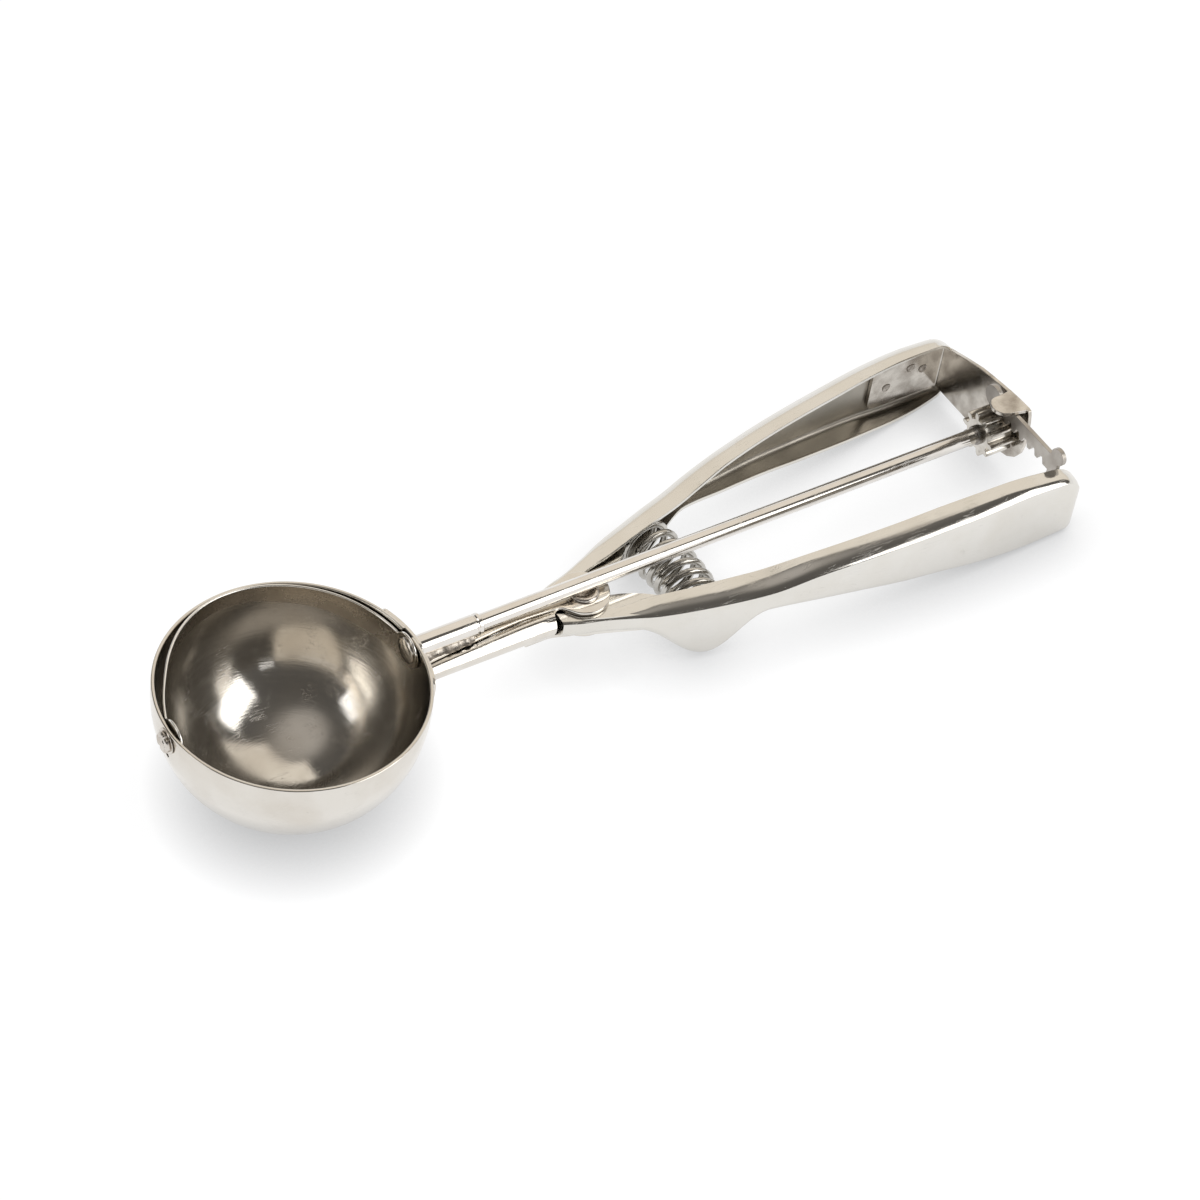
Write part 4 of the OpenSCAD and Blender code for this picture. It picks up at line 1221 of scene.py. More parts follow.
@dataclass
class Handle:
    """A handle pressed from sheet: a channel open to the middle, with a closed rear end.

    Curves run over the way from the rivet to the rear end, 0 to 1.

    Attributes:
        node: the CAD node it stands for.
        body: what it rides on.
        side: 1 for the fixed handle, -1 for the squeezed one.
        end_x: where its closed end lies.
        ears: lowest and highest height of each ear round the rivet.
        outer: half width over the outer faces.
        top_flange: width of the upper flange.
        low_flange: width of the lower flange.
        rise: how far the upper edge stands over its height at the rivet.
        fall: how far the lower edge lies under its height at the rivet.
        top_corner: radius of the upper corner's wide part.
        top_edge_r: radius of its tight part.
        knee: angle at which the wide part gives way to the tight one, in degrees.
        droop: how much the upper flange falls per millimetre outwards.
    """

    node: str
    body: Body
    side: int
    end_x: float
    ears: tuple[Pair, ...]
    sheet: float = 0.95
    pivot_x: float = 69.0
    nose: float = 7.7
    length: float = 111.2
    top_at_pivot: float = -3.75
    low_at_pivot: float = -8.75
    end_top_r: float = 6.0
    end_side_r: float = 2.5
    end_low_r: float = 2.4
    low_r: float = 2.2
    lip_r: float = 0.22
    ear_r: float = 3.7
    web_end: float = 85.0
    web_edge: Curve = ((73.9, 2.2), (76.2, 2.9), (78.6, 3.9), (81.0, 5.2), (83.0, 6.6), (85.0, 8.4))
    stop_x: float = 92.0
    stop_drop: float = 9.5
    stop_front: float = 15.5
    stop_rear: float = 12.7
    outer: Curve = ((-0.1, 3.6), (-0.045, 6.1), (0, 7.5), (0.05, 9.6), (0.1, 11.9), (0.2, 15.2),
                    (0.27, 17.2), (0.33, 18.9), (0.41, 20.4), (0.51, 22.1), (0.6, 23.3), (0.67, 24.0),
                    (0.77, 24.9), (0.87, 25.1), (1.02, 25.1))
    top_flange: Curve = ((-0.1, 3.2), (0, 3.2), (0.03, 3.3), (0.06, 3.8), (0.09, 4.8), (0.125, 5.2),
                         (0.17, 5.4), (0.25, 5.9), (0.33, 6.0), (0.41, 5.5), (0.51, 5.4), (0.67, 5.4),
                         (0.77, 5.2), (0.87, 4.6), (1.02, 3.5))
    low_flange: Curve = ((-0.1, 3.1), (0.1, 3.1), (0.25, 3), (0.42, 4.8), (0.72, 6.4), (0.9, 4.9),
                         (1.02, 2.2))
    rise: Curve = ((-0.1, 0), (0.04, 0), (0.12, 1.1), (0.2, 1.9), (0.3, 3.1), (0.42, 6), (0.6, 8.7),
                   (0.82, 11.2), (0.92, 10.8), (1.02, 9.2))
    fall: Curve = ((-0.1, 0), (0.2, 0), (0.3, -0.6), (0.35, -0.8), (0.41, -0.5), (0.51, 0.0), (0.6, 0.8),
                   (0.67, 1.2), (0.77, 2.0), (0.87, 2.6), (1.02, 1.8))
    top_corner: Curve = ((-0.1, 1.2), (0.03, 1.3), (0.07, 2.2), (0.115, 4.2), (0.2, 5.0), (0.5, 5.6),
                         (0.8, 5.4), (0.87, 4.4), (1.02, 3.0))
    top_edge_r: float = 0.55
    knee: float = 50.0
    droop: float = 0.08

    def along(self, curve: Curve, x: Array | float) -> Array:
        """A curve's value at a place along the tool."""
        return through(curve, (np.asarray(x) - self.pivot_x) / self.length)

    def inner_y(self, x: Array | float, gap: float = 0.05) -> Array:
        """Half width over the inner faces, less a gap."""
        return self.along(self.outer, x) - self.sheet - gap

    def top_z(self, x: Array | float) -> Array:
        """Height of the upper edge."""
        return self.top_at_pivot + self.along(self.rise, x)

    def low_z(self, x: Array | float) -> Array:
        """Height of the lower edge: its fall, and the finger stop as a squared cosine.

        Args:
            x: places along the tool.
        Returns:
            The heights there.
        """
        d = x - self.stop_x
        a = np.clip(d / np.where(d < 0, self.stop_front, self.stop_rear), -1, 1) * math.pi / 2
        return self.low_at_pivot - self.along(self.fall, x) - self.stop_drop * np.cos(a) ** 2

    def skin(self, off: float) -> Array:
        """One face of the channel, from its upper lip round to its lower lip.

        Straight runs between the two corners.  The upper flange falls a little outwards;
        its corner turns on a wide circle down to the knee and then on a tight one, the lower
        on one circle; all pull in on quarter circles towards the closed end.

        Args:
            off: distance from the outer face.
        Returns:
            Points as stations by columns by 3.
        """
        x0, x1 = self.pivot_x - self.nose, self.end_x - self.end_top_r
        end = x1 + (self.end_top_r - off) * np.sin(sweep(0, 90, 13))
        x = np.concatenate([np.linspace(x0, x1, 96)[:-1], end])[:, None]
        depth = self.end_x - off - x
        wide = np.maximum(self.along(self.top_corner, x) - off, 0.1)
        tight = max(self.top_edge_r - off, 0.06)
        a = np.radians([90.0, 82, 74, 66, 58, self.knee, 41, 32, 22, 11, 0])
        knee = math.radians(self.knee)
        first, second = np.maximum(a, knee), np.minimum(a, knee)
        out = wide * np.cos(first) + tight * (np.cos(second) - math.cos(knee))
        down = wide * (1 - np.sin(first)) + tight * (math.sin(knee) - np.sin(second))
        outer, r, e = self.along(self.outer, x), self.low_r - off, self.lip_r
        y = outer - off - round_in(self.end_side_r - off, depth)
        top = self.top_z(x) - off - round_in(self.end_top_r - off, depth)
        low = self.low_z(x) + off + round_in(self.end_low_r - off, depth)
        lip_top, lip_low = outer - self.along(self.top_flange, x), outer - self.along(self.low_flange, x)
        hold, b = np.array([0.0, 0.08, 0.5, 0.92]), sweep(0, 90, 9)

        def run(start: Array, stop: Array) -> Array:
            """Points along a straight run, close to its ends."""
            return start + (stop - start) * hold

        flat = y - out[:, -1:]
        web_top = top - down[:, -1:] - self.droop * (y - lip_top)
        ys = np.hstack([run(lip_top + e, flat), flat + out, run(y, y)[:, 1:], y - r + r * np.cos(b),
                        run(lip_low + e, y - r)[:, ::-1]])
        zs = np.hstack([run(top, top), top - down, run(web_top, low + r)[:, 1:], low + r - r * np.sin(b),
                        run(low, low)])
        upper = len(hold) + len(a)
        zs[:, :upper] -= self.droop * (ys[:, :upper] - lip_top)
        return xyz(x, ys, zs)

    def lip(self, start: Array, stop: Array) -> Array:
        """Half-round edge between the end points of the two faces, bulging towards the middle.

        Args:
            start: end points of one face.
            stop: end points of the other.
        Returns:
            Points as stations by columns by 3.
        """
        a = np.radians([30.0, 65.0, 115.0, 150.0])[:, None]
        across = start[:, None] + (stop - start)[:, None] * (1 - np.cos(a)) / 2
        return across - np.array([0, 1, 0]) * np.sin(a) ** 0.6 * self.lip_r

    def tray(self) -> Shape:
        """The channel: both faces, rounded lips, the front edge and the closed end.

        Returns:
            The channel, with its inner face marked.
        """
        out_skin, in_skin = self.skin(0.0), self.skin(self.sheet)
        low_lip = self.lip(out_skin[:, -1], in_skin[:, -1])
        top_lip = self.lip(in_skin[:, 0], out_skin[:, 0])
        loops = np.hstack([out_skin, low_lip, in_skin[:, ::-1], top_lip])
        shape = Shape()
        shape.add_grid(loops, wrap_cols=True)
        m, k, cols = out_skin.shape[1], low_lip.shape[1], loops.shape[1]
        last = (loops.shape[0] - 1) * cols
        low_end = range(last + m - 1, last + m + k + 1)
        top_end = range(last + 2 * m + k - 1, last + cols)
        shape.faces += [tuple(range(cols)), tuple(range(last, last + m)),
                        tuple(range(last + m + k, last + 2 * m + k)), (*low_end, *top_end, last)]
        inside = np.zeros(loops.shape[:2])
        inside[:, m + k:2 * m + k] = 1
        shape.inside = inside.ravel()
        return shape

    def ear(self, low: float, top: float) -> Shape:
        """A round ear about the rivet; its foot runs out under the flange and on along its lip.

        Args:
            low: height of its lower face.
            top: height of its upper face.
        Returns:
            The ear.
        """
        x0 = self.pivot_x - self.ear_r
        foot = self.along(self.outer, [x0, self.web_end]) - self.sheet * 0.8
        outline = np.concatenate([arc((self.pivot_x, 0.0), self.ear_r, 180, 385, 36), self.web_edge,
                                  [(self.web_end, foot[1]), (x0, foot[0])]])
        return slab(outline, low, top, plane=Plane.LEVEL)

    def pieces(self) -> list[Piece]:
        """The channel, which stands for the node, and its ears.

        Returns:
            The pieces, on the handle's own side.
        """
        shapes = {"tray": self.tray()}
        shapes.update((f"ear_{k}", self.ear(*span)) for k, span in enumerate(self.ears, 1))
        return [Piece(f"{self.node}_{name}", shape.mirrored(self.side), self.body, HANDLE_STEEL,
                      self.node if name == "tray" else "", sharp=48) for name, shape in shapes.items()]


@dataclass
class Spring:
    """The coil between the handles, on an arc about the point where their walls would meet."""

    handle: Handle
    outside_d: float = 12.0
    wire_d: float = 1.55
    turns: float = 9.0
    at_x: float = 93.5
    wall_x: float = 91.5
    chord: float = 4.0
    gap: float = 0.15
    lift: float = 0.6
    steps: int = 26
    sides: int = 14

    def pieces(self) -> list[Piece]:
        """The wire, square to both side walls, as far out as they let it.

        The coil's centre runs on an arc in the level plane; the wire's centre stands off it
        by the coil's radius, turning once per turn; the wire's section lies across it.

        Returns:
            The coil between the two handles.
        """
        hand, wall, chord = self.handle, self.wall_x, self.chord
        y0, y1, y = hand.inner_y(np.array([wall - chord, wall + chord, wall]), 0)
        slope = (y1 - y0) / (2 * chord)
        bend_x = wall - y / slope
        bend_r = self.at_x - bend_x
        half = math.degrees(math.atan(slope) - math.asin((self.wire_d / 2 + self.gap) / bend_r))
        z = (hand.top_z(hand.stop_x) + hand.low_z(hand.stop_x)) / 2 + self.lift
        count = int(self.turns * self.steps) + 1
        a, w = sweep(-half, half, count)[:, None], sweep(0, 360 * self.turns, count)[:, None]
        radial, along = polar(1, a, 0)[:, 0], xyz(-np.sin(a), np.cos(a), 0)[:, 0]
        out = radial * np.cos(w) + np.array([0, 0, 1]) * np.sin(w)
        centre = np.array([bend_x, 0, z]) + radial * bend_r
        wire = centre + out * (self.outside_d - self.wire_d) / 2
        b = all_round(self.sides)[None, :, None]
        loops = wire[:, None] + (out[:, None] * np.cos(b) + along[:, None] * np.sin(b)) * self.wire_d / 2
        return [Piece("return_spring_wire", Shape().add_sweep(loops), Body.FRAME, WIRE_STEEL,
                      "return_spring", sharp=60, between=centre[[-1, 0]])]


# ---- rack, pinion and bracket ----------------------------------------------------------------


@dataclass
class RackDrive:
    """The toothed strip on the squeezed handle, the pinion on the rod and the bracket behind them."""

    handle: Handle
    rack_x: float = 175.0
    sheet: float = 1.0
    module: float = 0.9
    pressure: float = 20.0
    teeth: int = 10
    backlash: float = 0.34
    pinion_x: Pair = (170.0, 176.6)
    pitch_r: float = 4.5
    out_r: float = 5.265
    root_r: float = 3.755
    tip_z: float = 4.005
    gullet_z: float = 5.515
    top_z: float = 8.515
    lobe: tuple[float, float, float] = (2.52, 7.315, 2.7)
    hump: tuple[float, float, float] = (-20.2, 9.265, 2.0)
    hump_right: float = -18.2
    neck_y: float = -20.85
    leg_z: Pair = (-5.0, 4.0)
    leg_len: float = 12.0
    plate_x: float = 177.05
    plate: Curve = ((21.1, 4.2), (16.4, 5.8), (10.8, 7.5), (6.9, 8.2), (3.8, 8.7), (-0.2, 9.25),
                    (-3.0, 9.5), (-5.6, 9.62), (-6.3, 9.4), (-6.7, 8.4), (-7.1, 6.3), (-7.35, 3.0),
                    (-7.4, 0.0), (-6.9, -2.7), (-5.6, -4.9), (-3.5, -6.5), (-1.2, -7.2), (3.0, -7.7))
    plate_low_y: float = 8.0
    bore_r: float = 1.8
    strap: float = 0.95
    strap_z: Pair = (-8.3, 4.2)
    strap_x0: float = 158.0
    tab_z: float = 8.665
    tab: Curve = ((177.6, 1.0), (175.0, 0.6), (173.0, 0.6), (171.8, 0.2), (171.0, -0.7), (170.6, -1.9),
                  (170.7, -2.9), (171.1, -3.7), (171.8, -4.5), (173.0, -5.05), (174.6, -5.3), (176.2, -5.6),
                  (177.6, -6.0))
    bend_r: float = 1.3
    bend_top: float = 3.6
    strap_spots: Curve = ((-6, -1), (-9.5, 0.5), (-15.5, -3))

    def rack_outline(self) -> Array:
        """Outline of the strip seen along the spindle: lobe, top edge, hump, foot and teeth.

        Each gap between teeth is a trapezium whose sides slant by the pressure angle.

        Returns:
            Points as (Y, Z).
        """
        (ly, lz, lr), (hy, hz, hr), (foot, step) = self.lobe, self.hump, self.leg_z
        wall, right, neck, top = -self.handle.inner_y(self.rack_x), self.hump_right, self.neck_y, self.top_z
        pitch, slope = math.pi * self.module, math.tan(math.radians(self.pressure))
        half = pitch / 4 + self.backlash / 4
        low_half, up_half = (half + (self.pitch_r - z) * slope for z in (self.tip_z, self.gullet_z))
        side = np.array([-low_half, -up_half, up_half, low_half])
        level = np.array([self.tip_z, self.gullet_z, self.gullet_z, self.tip_z])
        centres = -(np.arange(5, -2, -1) + 0.5)[:, None] * pitch
        return np.concatenate([
            [(ly, self.tip_z)], arc((ly, lz), lr, -90, 180 - math.degrees(math.asin((top - lz) / lr)), 28),
            [(hy + hr + 0.25, top), (hy + hr + 0.05, top + 0.2)],
            arc((hy, hz), hr, 0, 180 + math.degrees(math.acos((hy - neck) / hr)), 26),
            [(neck, step + 0.3), (neck - 0.3, step), (wall, step), (wall, foot), (right - 0.4, foot),
             (right, foot + 0.4), (right, self.tip_z)], xyz(centres + side, level).reshape(-1, 2)])

    def rack(self) -> list[Piece]:
        """The strip, its leg along the handle's side wall and two spot welds on that leg.

        Returns:
            The three pieces.
        """
        x0, x1 = self.rack_x - self.sheet / 2, self.rack_x + self.sheet / 2
        z0, z1 = self.leg_z
        x = np.linspace(x1 - self.leg_len, x1, 24)[:, None]
        across = self.sheet * np.array([0, 1, 1, 0]) - self.handle.inner_y(x)
        leg = xyz(x, across, np.array([z0, z0, z1, z1]))
        spots = Shape()
        for at in (x1 - 4, x1 - 9):
            self.spot(spots, at, self.sheet - self.handle.inner_y(at), (z0 + z1) / 2, 1)
        return [Piece("rack_strip", slab(self.rack_outline(), x0, x1), Body.SQUEEZE, RACK_STEEL, "rack",
                      sharp=40, soft=0.1),
                Piece("rack_leg", Shape().add_sweep(leg), Body.SQUEEZE, RACK_STEEL, sharp=40, soft=0.12),
                Piece("rack_spots", spots, Body.SQUEEZE, WELD_STEEL, "rack_welds", sharp=60)]

    def spot(self, into: Shape, x: float, y: float, z: float, side: int, radius: float = 1.1) -> None:
        """Adds a shallow domed spot weld that faces along y.

        Args:
            into: the shape that takes it.
            x: its place along the tool.
            y: the face it lies on.
            z: its height.
            side: 1 to stand towards +Y, -1 towards -Y.
            radius: its radius.
        """
        r, rise = np.array([(0.0, 0.14), (0.4, 0.12), (0.75, 0.1), (0.92, 0.15), (1.0, 0.0), (1.0, -0.1)]).T
        a = all_round(28)[:, None]
        r = r * radius * (1 + 0.06 * np.sin(a * 3))
        first = into.add_grid(xyz(x + r * np.cos(a), y + rise * side, z + r * np.sin(a)), wrap_rows=True)
        into.faces.append(tuple(range(first + 5, first + 6 * 28, 6)))

    def pinion(self) -> Piece:
        """Involute teeth: the flank's angle is tan(a) - a with cos(a) = base / radius.

        Returns:
            The pinion.
        """
        pressure = math.radians(self.pressure)
        base = self.pitch_r * math.cos(pressure)
        radius = np.hstack([self.root_r, np.linspace(base, self.out_r - 0.08, 6), self.out_r])
        a = np.arccos(np.minimum(base / np.maximum(radius, base), 1))
        half = math.pi / 2 / self.teeth - self.backlash / 4 / self.pitch_r
        flank = half + math.tan(pressure) - pressure - (np.tan(a) - a)
        flank[-1] -= 0.02
        centres = math.pi / 2 + (np.arange(self.teeth) + 0.5)[:, None] * 2 * math.pi / self.teeth
        angle = centres + np.hstack([-flank, flank[::-1]])
        outline = polar(np.hstack([radius, radius[::-1]]), angle, 0).reshape(-1, 3)[:, :2]
        return Piece("pinion_gear", slab(outline, *self.pinion_x), Body.SPINDLE, PINION_STEEL, "pinion",
                     sharp=30, soft=0.12, soft_angle=60)

    def bracket(self) -> list[Piece]:
        """The strap: a plate that carries the rod's end, a leg and a tongue over the rack.

        Returns:
            The strap's three parts and its spot welds.
        """
        px, t, low, tab = self.plate_x, self.strap, self.strap_z[0], self.tab_z
        wall = float(self.handle.inner_y(px))
        inner = wall - self.bend_r
        plate = np.array([(inner, low), (inner, self.bend_top), *self.plate, (self.plate_low_y, low)])
        spots = Shape()
        for dx, z in self.strap_spots:
            self.spot(spots, px + t + dx, self.handle.inner_y(px + t + dx) - t, z, -1)
        return [Piece("bracket_plate", slab(plate, px, px + t), Body.FRAME, STRAP_STEEL, "rack_bracket",
                      holes=[drill(px - 1, px + t + 1, self.bore_r, 40)], soft=0.14),
                Piece("bracket_tab", slab(np.array(self.tab), tab, tab + t, plane=Plane.LEVEL), Body.FRAME,
                      STRAP_STEEL, sharp=30, soft=0.14),
                Piece("bracket_leg", self.leg(wall), Body.FRAME, STRAP_STEEL, sharp=40, soft=0.12),
                Piece("bracket_spots", spots, Body.FRAME, WELD_STEEL, "bracket_welds", sharp=60)]

    def leg(self, wall: float) -> Shape:
        """The bend and the leg: a sheet along the handle's inner wall, round at its far end.

        The path turns a quarter circle from the plate and then follows the wall; the
        upper and lower edge draw in on quarter circles towards the leg's tip.

        Args:
            wall: half width over the handle's inner faces at the plate.
        Returns:
            The leg.
        """
        t, r, back = self.strap, self.bend_r, self.plate_x + self.strap
        x = np.linspace(back - r, self.strap_x0, 40)
        turn = arc((back - r, wall - r), r, 0, 90, 9)[:-1]
        path = np.concatenate([[(back, wall - r - 0.6)], turn, xyz(x, self.handle.inner_y(x))])
        step = np.gradient(path, axis=0)
        side = xyz(step[:, 1], -step[:, 0])
        side /= np.linalg.norm(side, axis=1)[:, None]
        inside = path - side * t * np.sign((side * (path - [back - 8, wall - 8])).sum(1))[:, None]
        pull = round_in(2.0, path[:, 0] - self.strap_x0)
        low, high = self.strap_z
        top, bottom = np.where(path[:, 0] > 176.0, self.bend_top, high) - pull, low + pull
        corners = [np.column_stack(pair) for pair in
                   ((path, top), (inside, top), (inside, bottom), (path, bottom))]
        return Shape().add_sweep(np.stack(corners, 1))

    def pieces(self) -> list[Piece]:
        """The three assemblies."""
        return [*self.rack(), self.pinion(), *self.bracket()]


# ---- camera, floor and light -----------------------------------------------------------------


def lay_frame(side: Array, up: Array, back: Array, place: Array) -> Matrix:
    """The matrix of an object whose own X, Y and Z run along three directions, at a place.

    Args:
        side: direction of its X.
        up: direction of its Y.
        back: direction of its Z.
        place: where it stands.
    Returns:
        The matrix.
    """
    matrix = np.eye(4)
    matrix[:3] = xyz(side, up, back, place)
    return Matrix(matrix.tolist())


def unit(vector: Array) -> Array:
    """A vector's direction."""
    return vector / np.linalg.norm(vector)


def toward(azimuth: float, elevation: float) -> Array:
    """The direction at an azimuth from +X towards +Y and an elevation, both in degrees."""
    az, el = math.radians(azimuth), math.radians(elevation)
    return np.array([math.cos(el) * math.cos(az), math.cos(el) * math.sin(az), math.sin(el)])


@dataclass
class View:
    """The camera: its place and the directions of its frame, in tool coordinates."""

    place: tuple[float, float, float] = (-290.83, -444.47, 591.31)
    right: tuple[float, float, float] = (0.8395, -0.5305, 0.1173)
    down: tuple[float, float, float] = (-0.3199, -0.6571, -0.6826)
    lens: float = 120.0
    sensor: float = 36.0
    clip: Pair = (0.02, 50.0)

    def build(self) -> None:
        """Makes the camera and makes it the scene's."""
        data = bpy.data.cameras.new("view")
        data.lens, data.sensor_width = self.lens, self.sensor
        data.clip_start, data.clip_end = self.clip
        right, up = unit(TOOL.turn(self.right)), -TOOL.turn(self.down)
        up = unit(up - right * (up @ right))
        camera = in_scene("view", data)
        camera.matrix_world = lay_frame(right, up, np.cross(right, up), TOOL.to_row(self.place))
        bpy.context.scene.camera = camera


@dataclass(frozen=True)
class Softbox:
    """A rectangular light that faces the object.

    Attributes:
        name: the light's name.
        azimuth: the direction it stands in, from +X towards +Y, in degrees.
        elevation: its height over the floor, in degrees.
        across: its width as seen from the object, in degrees.
        tall: its height as seen from the object, in degrees.
        glow: brightness of its face, where 1 is white.
        colour: the light's colour.
        distance: how far from the object it stands, in metres.
    """

    name: str
    azimuth: float
    elevation: float
    across: float
    tall: float
    glow: float
    colour: Rgb = (1.0, 1.0, 1.0)
    distance: float = 1.8

    def build(self, target: Array) -> None:
        """Makes the light and aims it.

        A lamp of P watts and area A has a face as bright as P / (4 A).

        Args:
            target: the point it faces.
        """
        back = toward(self.azimuth, self.elevation)
        data = bpy.data.lights.new(self.name, "AREA")
        data.shape, data.color = "RECTANGLE", self.colour
        data.size, data.size_y = (2 * self.distance * math.tan(math.radians(wide / 2))
                                  for wide in (self.across, self.tall))
        data.energy = 4 * self.glow * data.size * data.size_y
        side = unit(np.cross([0, 0, 1.0], back))
        light = in_scene(self.name, data)
        light.matrix_world = lay_frame(side, np.cross(back, side), back, target + back * self.distance)
        light.visible_camera = False


@dataclass
class Studio:
    """A pale sweep of floor, a dim room with one broad beige panel, and a few softboxes.

    Attributes:
        room: brightness of the room by the height of the direction, both from 0 to 1.
        room_tint: colour of the room.
        panel: azimuth of the beige panel's middle and half its width, in degrees.
        panel_top: elevation of its upper edge at the middle, in degrees.
        panel_lean: how many degrees that edge falls per degree of azimuth.
        panel_soft: how many degrees its edges take to fade.
        panel_glow: brightness of the panel at the floor and at panel_full.
        panel_full: elevation from which the panel is at its brightest, in degrees.
        panel_tint: colour of the panel.
        ceiling: azimuth and elevation of the soft glow overhead, in degrees.
        ceiling_wide: how far from its middle that glow reaches, in degrees.
        ceiling_glow: brightness at the glow's middle.
        floor_colour: albedo of the floor.
        floor_glow: brightness that the floor adds for eye and reflections.
        shadow_reach: how far round the object ambient occlusion dims that brightness, as a painted
            shadow, in metres.
        shadow_keep: share of that brightness that is left in the tightest corner, where the painted
            shadow is darkest.
        floor_r: rings of the floor, in metres.
        floor_flat: radius at which the floor starts to rise, in metres.
        floor_bend: how much it rises per square metre.
        target: the point that the softboxes face.
        boxes: the softboxes.
    """

    room: Curve = ((0.0, 0.12), (0.7, 0.10), (0.86, 0.12), (0.93, 0.16), (0.97, 0.2), (1.0, 0.24))
    room_tint: Rgb = (1.0, 0.94, 0.87)
    panel: Pair = (36.0, 49.0)
    panel_top: float = 69.5
    panel_lean: float = 0.02
    panel_soft: float = 3.0
    panel_glow: Pair = (0.72, 0.94)
    panel_full: float = 28.0
    panel_tint: Rgb = (1.0, 0.93, 0.83)
    ceiling: Pair = (-180.0, 83.0)
    ceiling_wide: float = 30.0
    ceiling_glow: float = 0.48
    floor_colour: Rgb = (0.23, 0.24, 0.26)
    floor_glow: float = 0.93
    shadow_reach: float = 0.014
    shadow_keep: float = 0.38
    floor_r: tuple[float, ...] = (0.0, 0.05, 0.4, 1.5, 4.0, 5.5, 6.5, 7.5, 8.2, 8.7, 9.0)
    floor_flat: float = 5.0
    floor_bend: float = 0.14
    target: tuple[float, float, float] = (0.0, 0.0, 0.02)
    boxes: tuple[Softbox, ...] = (
        Softbox("right box", -51.0, 28.0, 38.0, 36.0, 1.9, (1.0, 0.99, 0.97)),
        Softbox("left box", 168.0, 30.0, 22.0, 22.0, 1.3),
        Softbox("front box", -98.0, 20.0, 12.0, 10.0, 0.7),
    )

    def walls(self, w: Wiring, coords: Socket) -> Socket:
        """The room's brightness by height, with the soft glow overhead.

        Args:
            w: the world's wiring.
            coords: the direction looked in.
        Returns:
            The colour in that direction.
        """
        ramp = w.add("ValToRGB", {0: w.add("SeparateXYZ", {0: coords}).outputs[2]})
        stops = ramp.color_ramp.elements
        while len(stops) < len(self.room):
            stops.new(0.5)
        for stop, (at, grey) in zip(stops, self.room):
            stop.position, stop.color = at, rgba(self.room_tint, grey)
        near = w.add("VectorMath", {0: coords, 1: toward(*self.ceiling)}, operation="DOT_PRODUCT")
        reach = math.cos(math.radians(self.ceiling_wide))
        soft = w.span(near.outputs["Value"], reach, 1.0, interpolation_type="SMOOTHERSTEP")
        return w.blend(soft, ramp.outputs[0], rgba(self.room_tint, self.ceiling_glow))

    def sky(self) -> bpy.types.World:
        """The room, and the panel where azimuth and elevation fall inside it.

        Returns:
            The world.
        """
        world = bpy.data.worlds.new("room")
        w = Wiring(world)
        coords = w.add("TexCoord").outputs["Generated"]
        x, y, z = w.add("SeparateXYZ", {0: coords}).outputs
        middle, half = self.panel
        c, s = math.cos(math.radians(middle)), math.sin(math.radians(middle))
        ahead, aside = w.times(x, c, w.times(y, s)), w.times(y, c, w.times(x, -s))
        turn = w.times(w.maths("ARCTAN2", aside, ahead), 180 / math.pi)
        rise = w.times(w.maths("ARCSINE", z), 180 / math.pi)
        wide = w.span(w.maths("ABSOLUTE", turn), half - self.panel_soft, half, 1.0, 0.0)
        under = w.span(w.times(turn, self.panel_lean, rise), self.panel_top - self.panel_soft,
                       self.panel_top, 1.0, 0.0)
        glow = w.span(rise, 0.0, self.panel_full, *self.panel_glow)
        room = w.add("Background", {"Color": self.walls(w, coords), "Strength": 1.0}).outputs[0]
        panel = w.add("Background", {"Color": rgba(self.panel_tint), "Strength": glow}).outputs[0]
        both = w.add("MixShader", {0: w.times(wide, under), 1: room, 2: panel}).outputs[0]
        w.add("OutputWorld", {"Surface": both})
        return world

    def floor_finish(self) -> bpy.types.Material:
        """Matt grey that glows for eye and reflections, with a painted shadow: ambient occlusion dims the
        glow in corners under the object.

        Returns:
            The material.
        """
        made = bpy.data.materials.new("floor")
        w = Wiring(made)
        rays = w.add("LightPath").outputs
        seen = w.maths("MAXIMUM", rays["Is Camera Ray"],
                       w.maths("MAXIMUM", rays["Is Glossy Ray"], rays["Is Transmission Ray"]))
        seen = w.times(seen, w.maths("LESS_THAN", rays["Diffuse Depth"], 0.5))
        # Painted shadow: ambient occlusion dims the floor's glow round the object, for the eye and in
        # reflections.
        unshadowed = w.add("AmbientOcclusion", {"Distance": self.shadow_reach}, samples=5).outputs["AO"]
        seen = w.times(seen, w.times(unshadowed, 1 - self.shadow_keep, self.shadow_keep))
        matt = w.add("BsdfDiffuse", {"Color": rgba(self.floor_colour)}).outputs[0]
        glow = w.add("Emission", {"Color": (1, 1, 1, 1), "Strength": w.times(seen, self.floor_glow)})
        w.add("OutputMaterial", {"Surface": w.add("AddShader", {0: matt, 1: glow.outputs[0]}).outputs[0]})
        return made

    def floor(self) -> None:
        """A disc that curves up at its far rim: height is the square of the way past its flat part."""
        shape, r = Shape(), np.array(self.floor_r)
        rise = np.maximum(r - self.floor_flat, 0) ** 2 * self.floor_bend
        shape.add_grid(polar(r, all_round(96)[:, None], rise), wrap_rows=True)
        mesh = bpy.data.meshes.new("floor")
        mesh.from_pydata(np.concatenate(shape.points), [], shape.faces)
        bend_normals(mesh, 60)
        mesh.materials.append(self.floor_finish())
        in_scene("floor", mesh)

    def build(self) -> None:
        """Makes the floor, the room and the lights."""
        self.floor()
        bpy.context.scene.world = self.sky()
        for box in self.boxes:
            box.build(np.array(self.target))
        bpy.context.scene.view_settings.view_transform = "Standard"


# ---- the tool --------------------------------------------------------------------------------


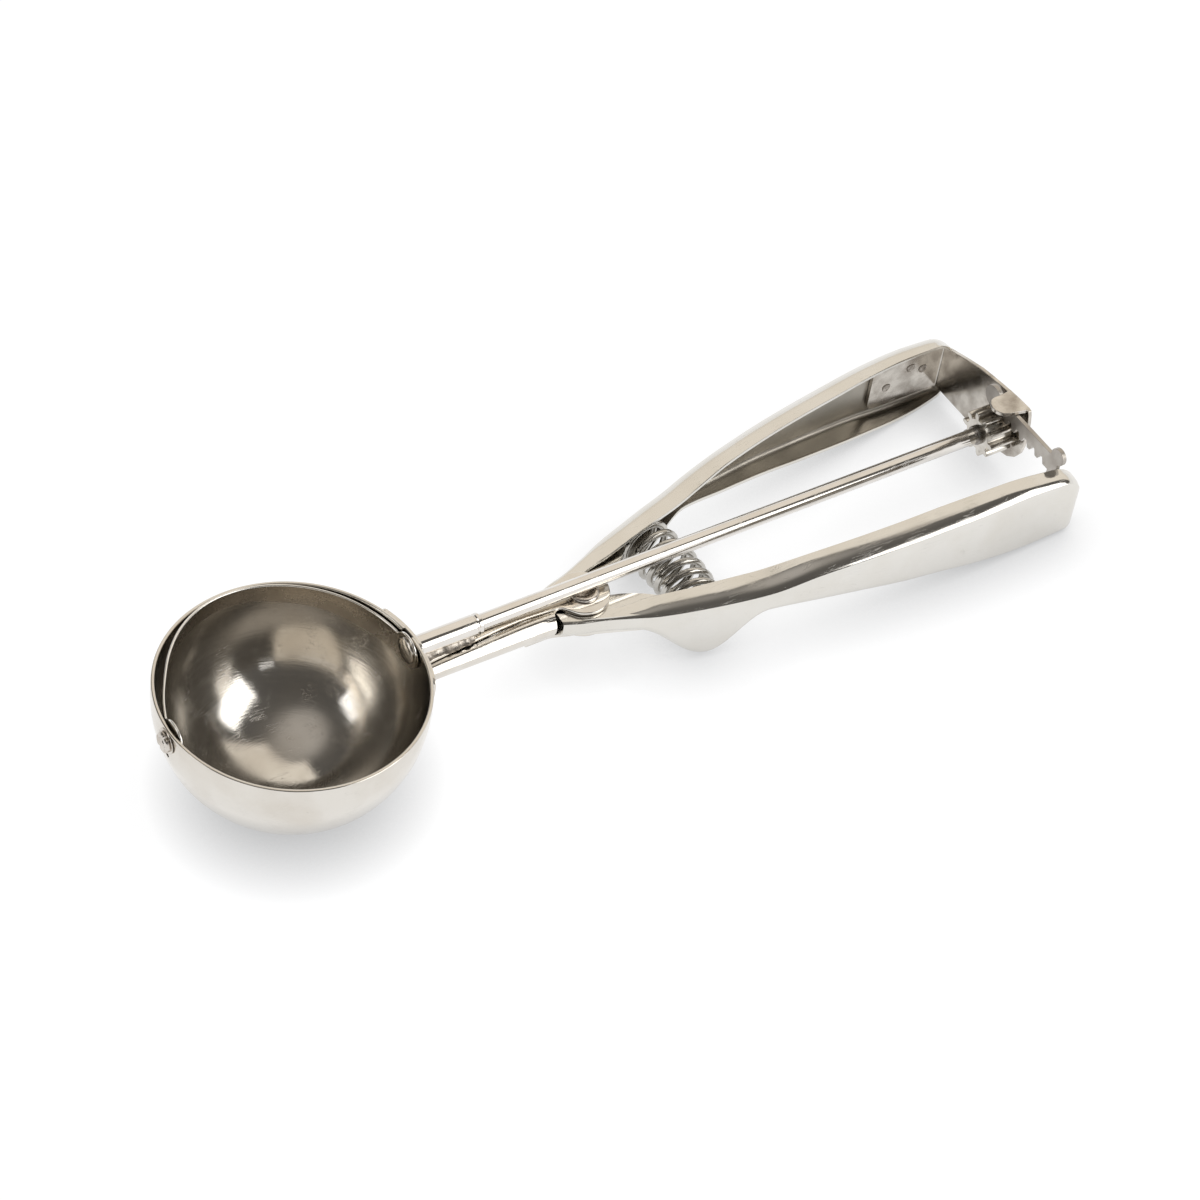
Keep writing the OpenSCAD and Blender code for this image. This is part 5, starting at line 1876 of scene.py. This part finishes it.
def main() -> None:
    """Builds the view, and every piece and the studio."""
    logging.basicConfig(level=logging.INFO, format="%(message)s")
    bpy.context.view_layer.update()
    View().build()
    fixed = Handle("fixed_handle", Body.FRAME, 1, 179.2, ((-5.65, -4.9), (-7.6, -6.85)))
    squeezed = Handle("squeeze_handle", Body.SQUEEZE, -1, 180.2, ((-4.6, -3.85), (-8.65, -7.9)))
    for part in (Bowl(), Scraper(), Spindle(), TipPin(), Shank(), Pivot(), fixed, squeezed, Spring(fixed),
                 RackDrive(fixed)):
        for piece in part.pieces():
            piece.make()
    Studio().build()


if __name__ == "__main__":
    main()
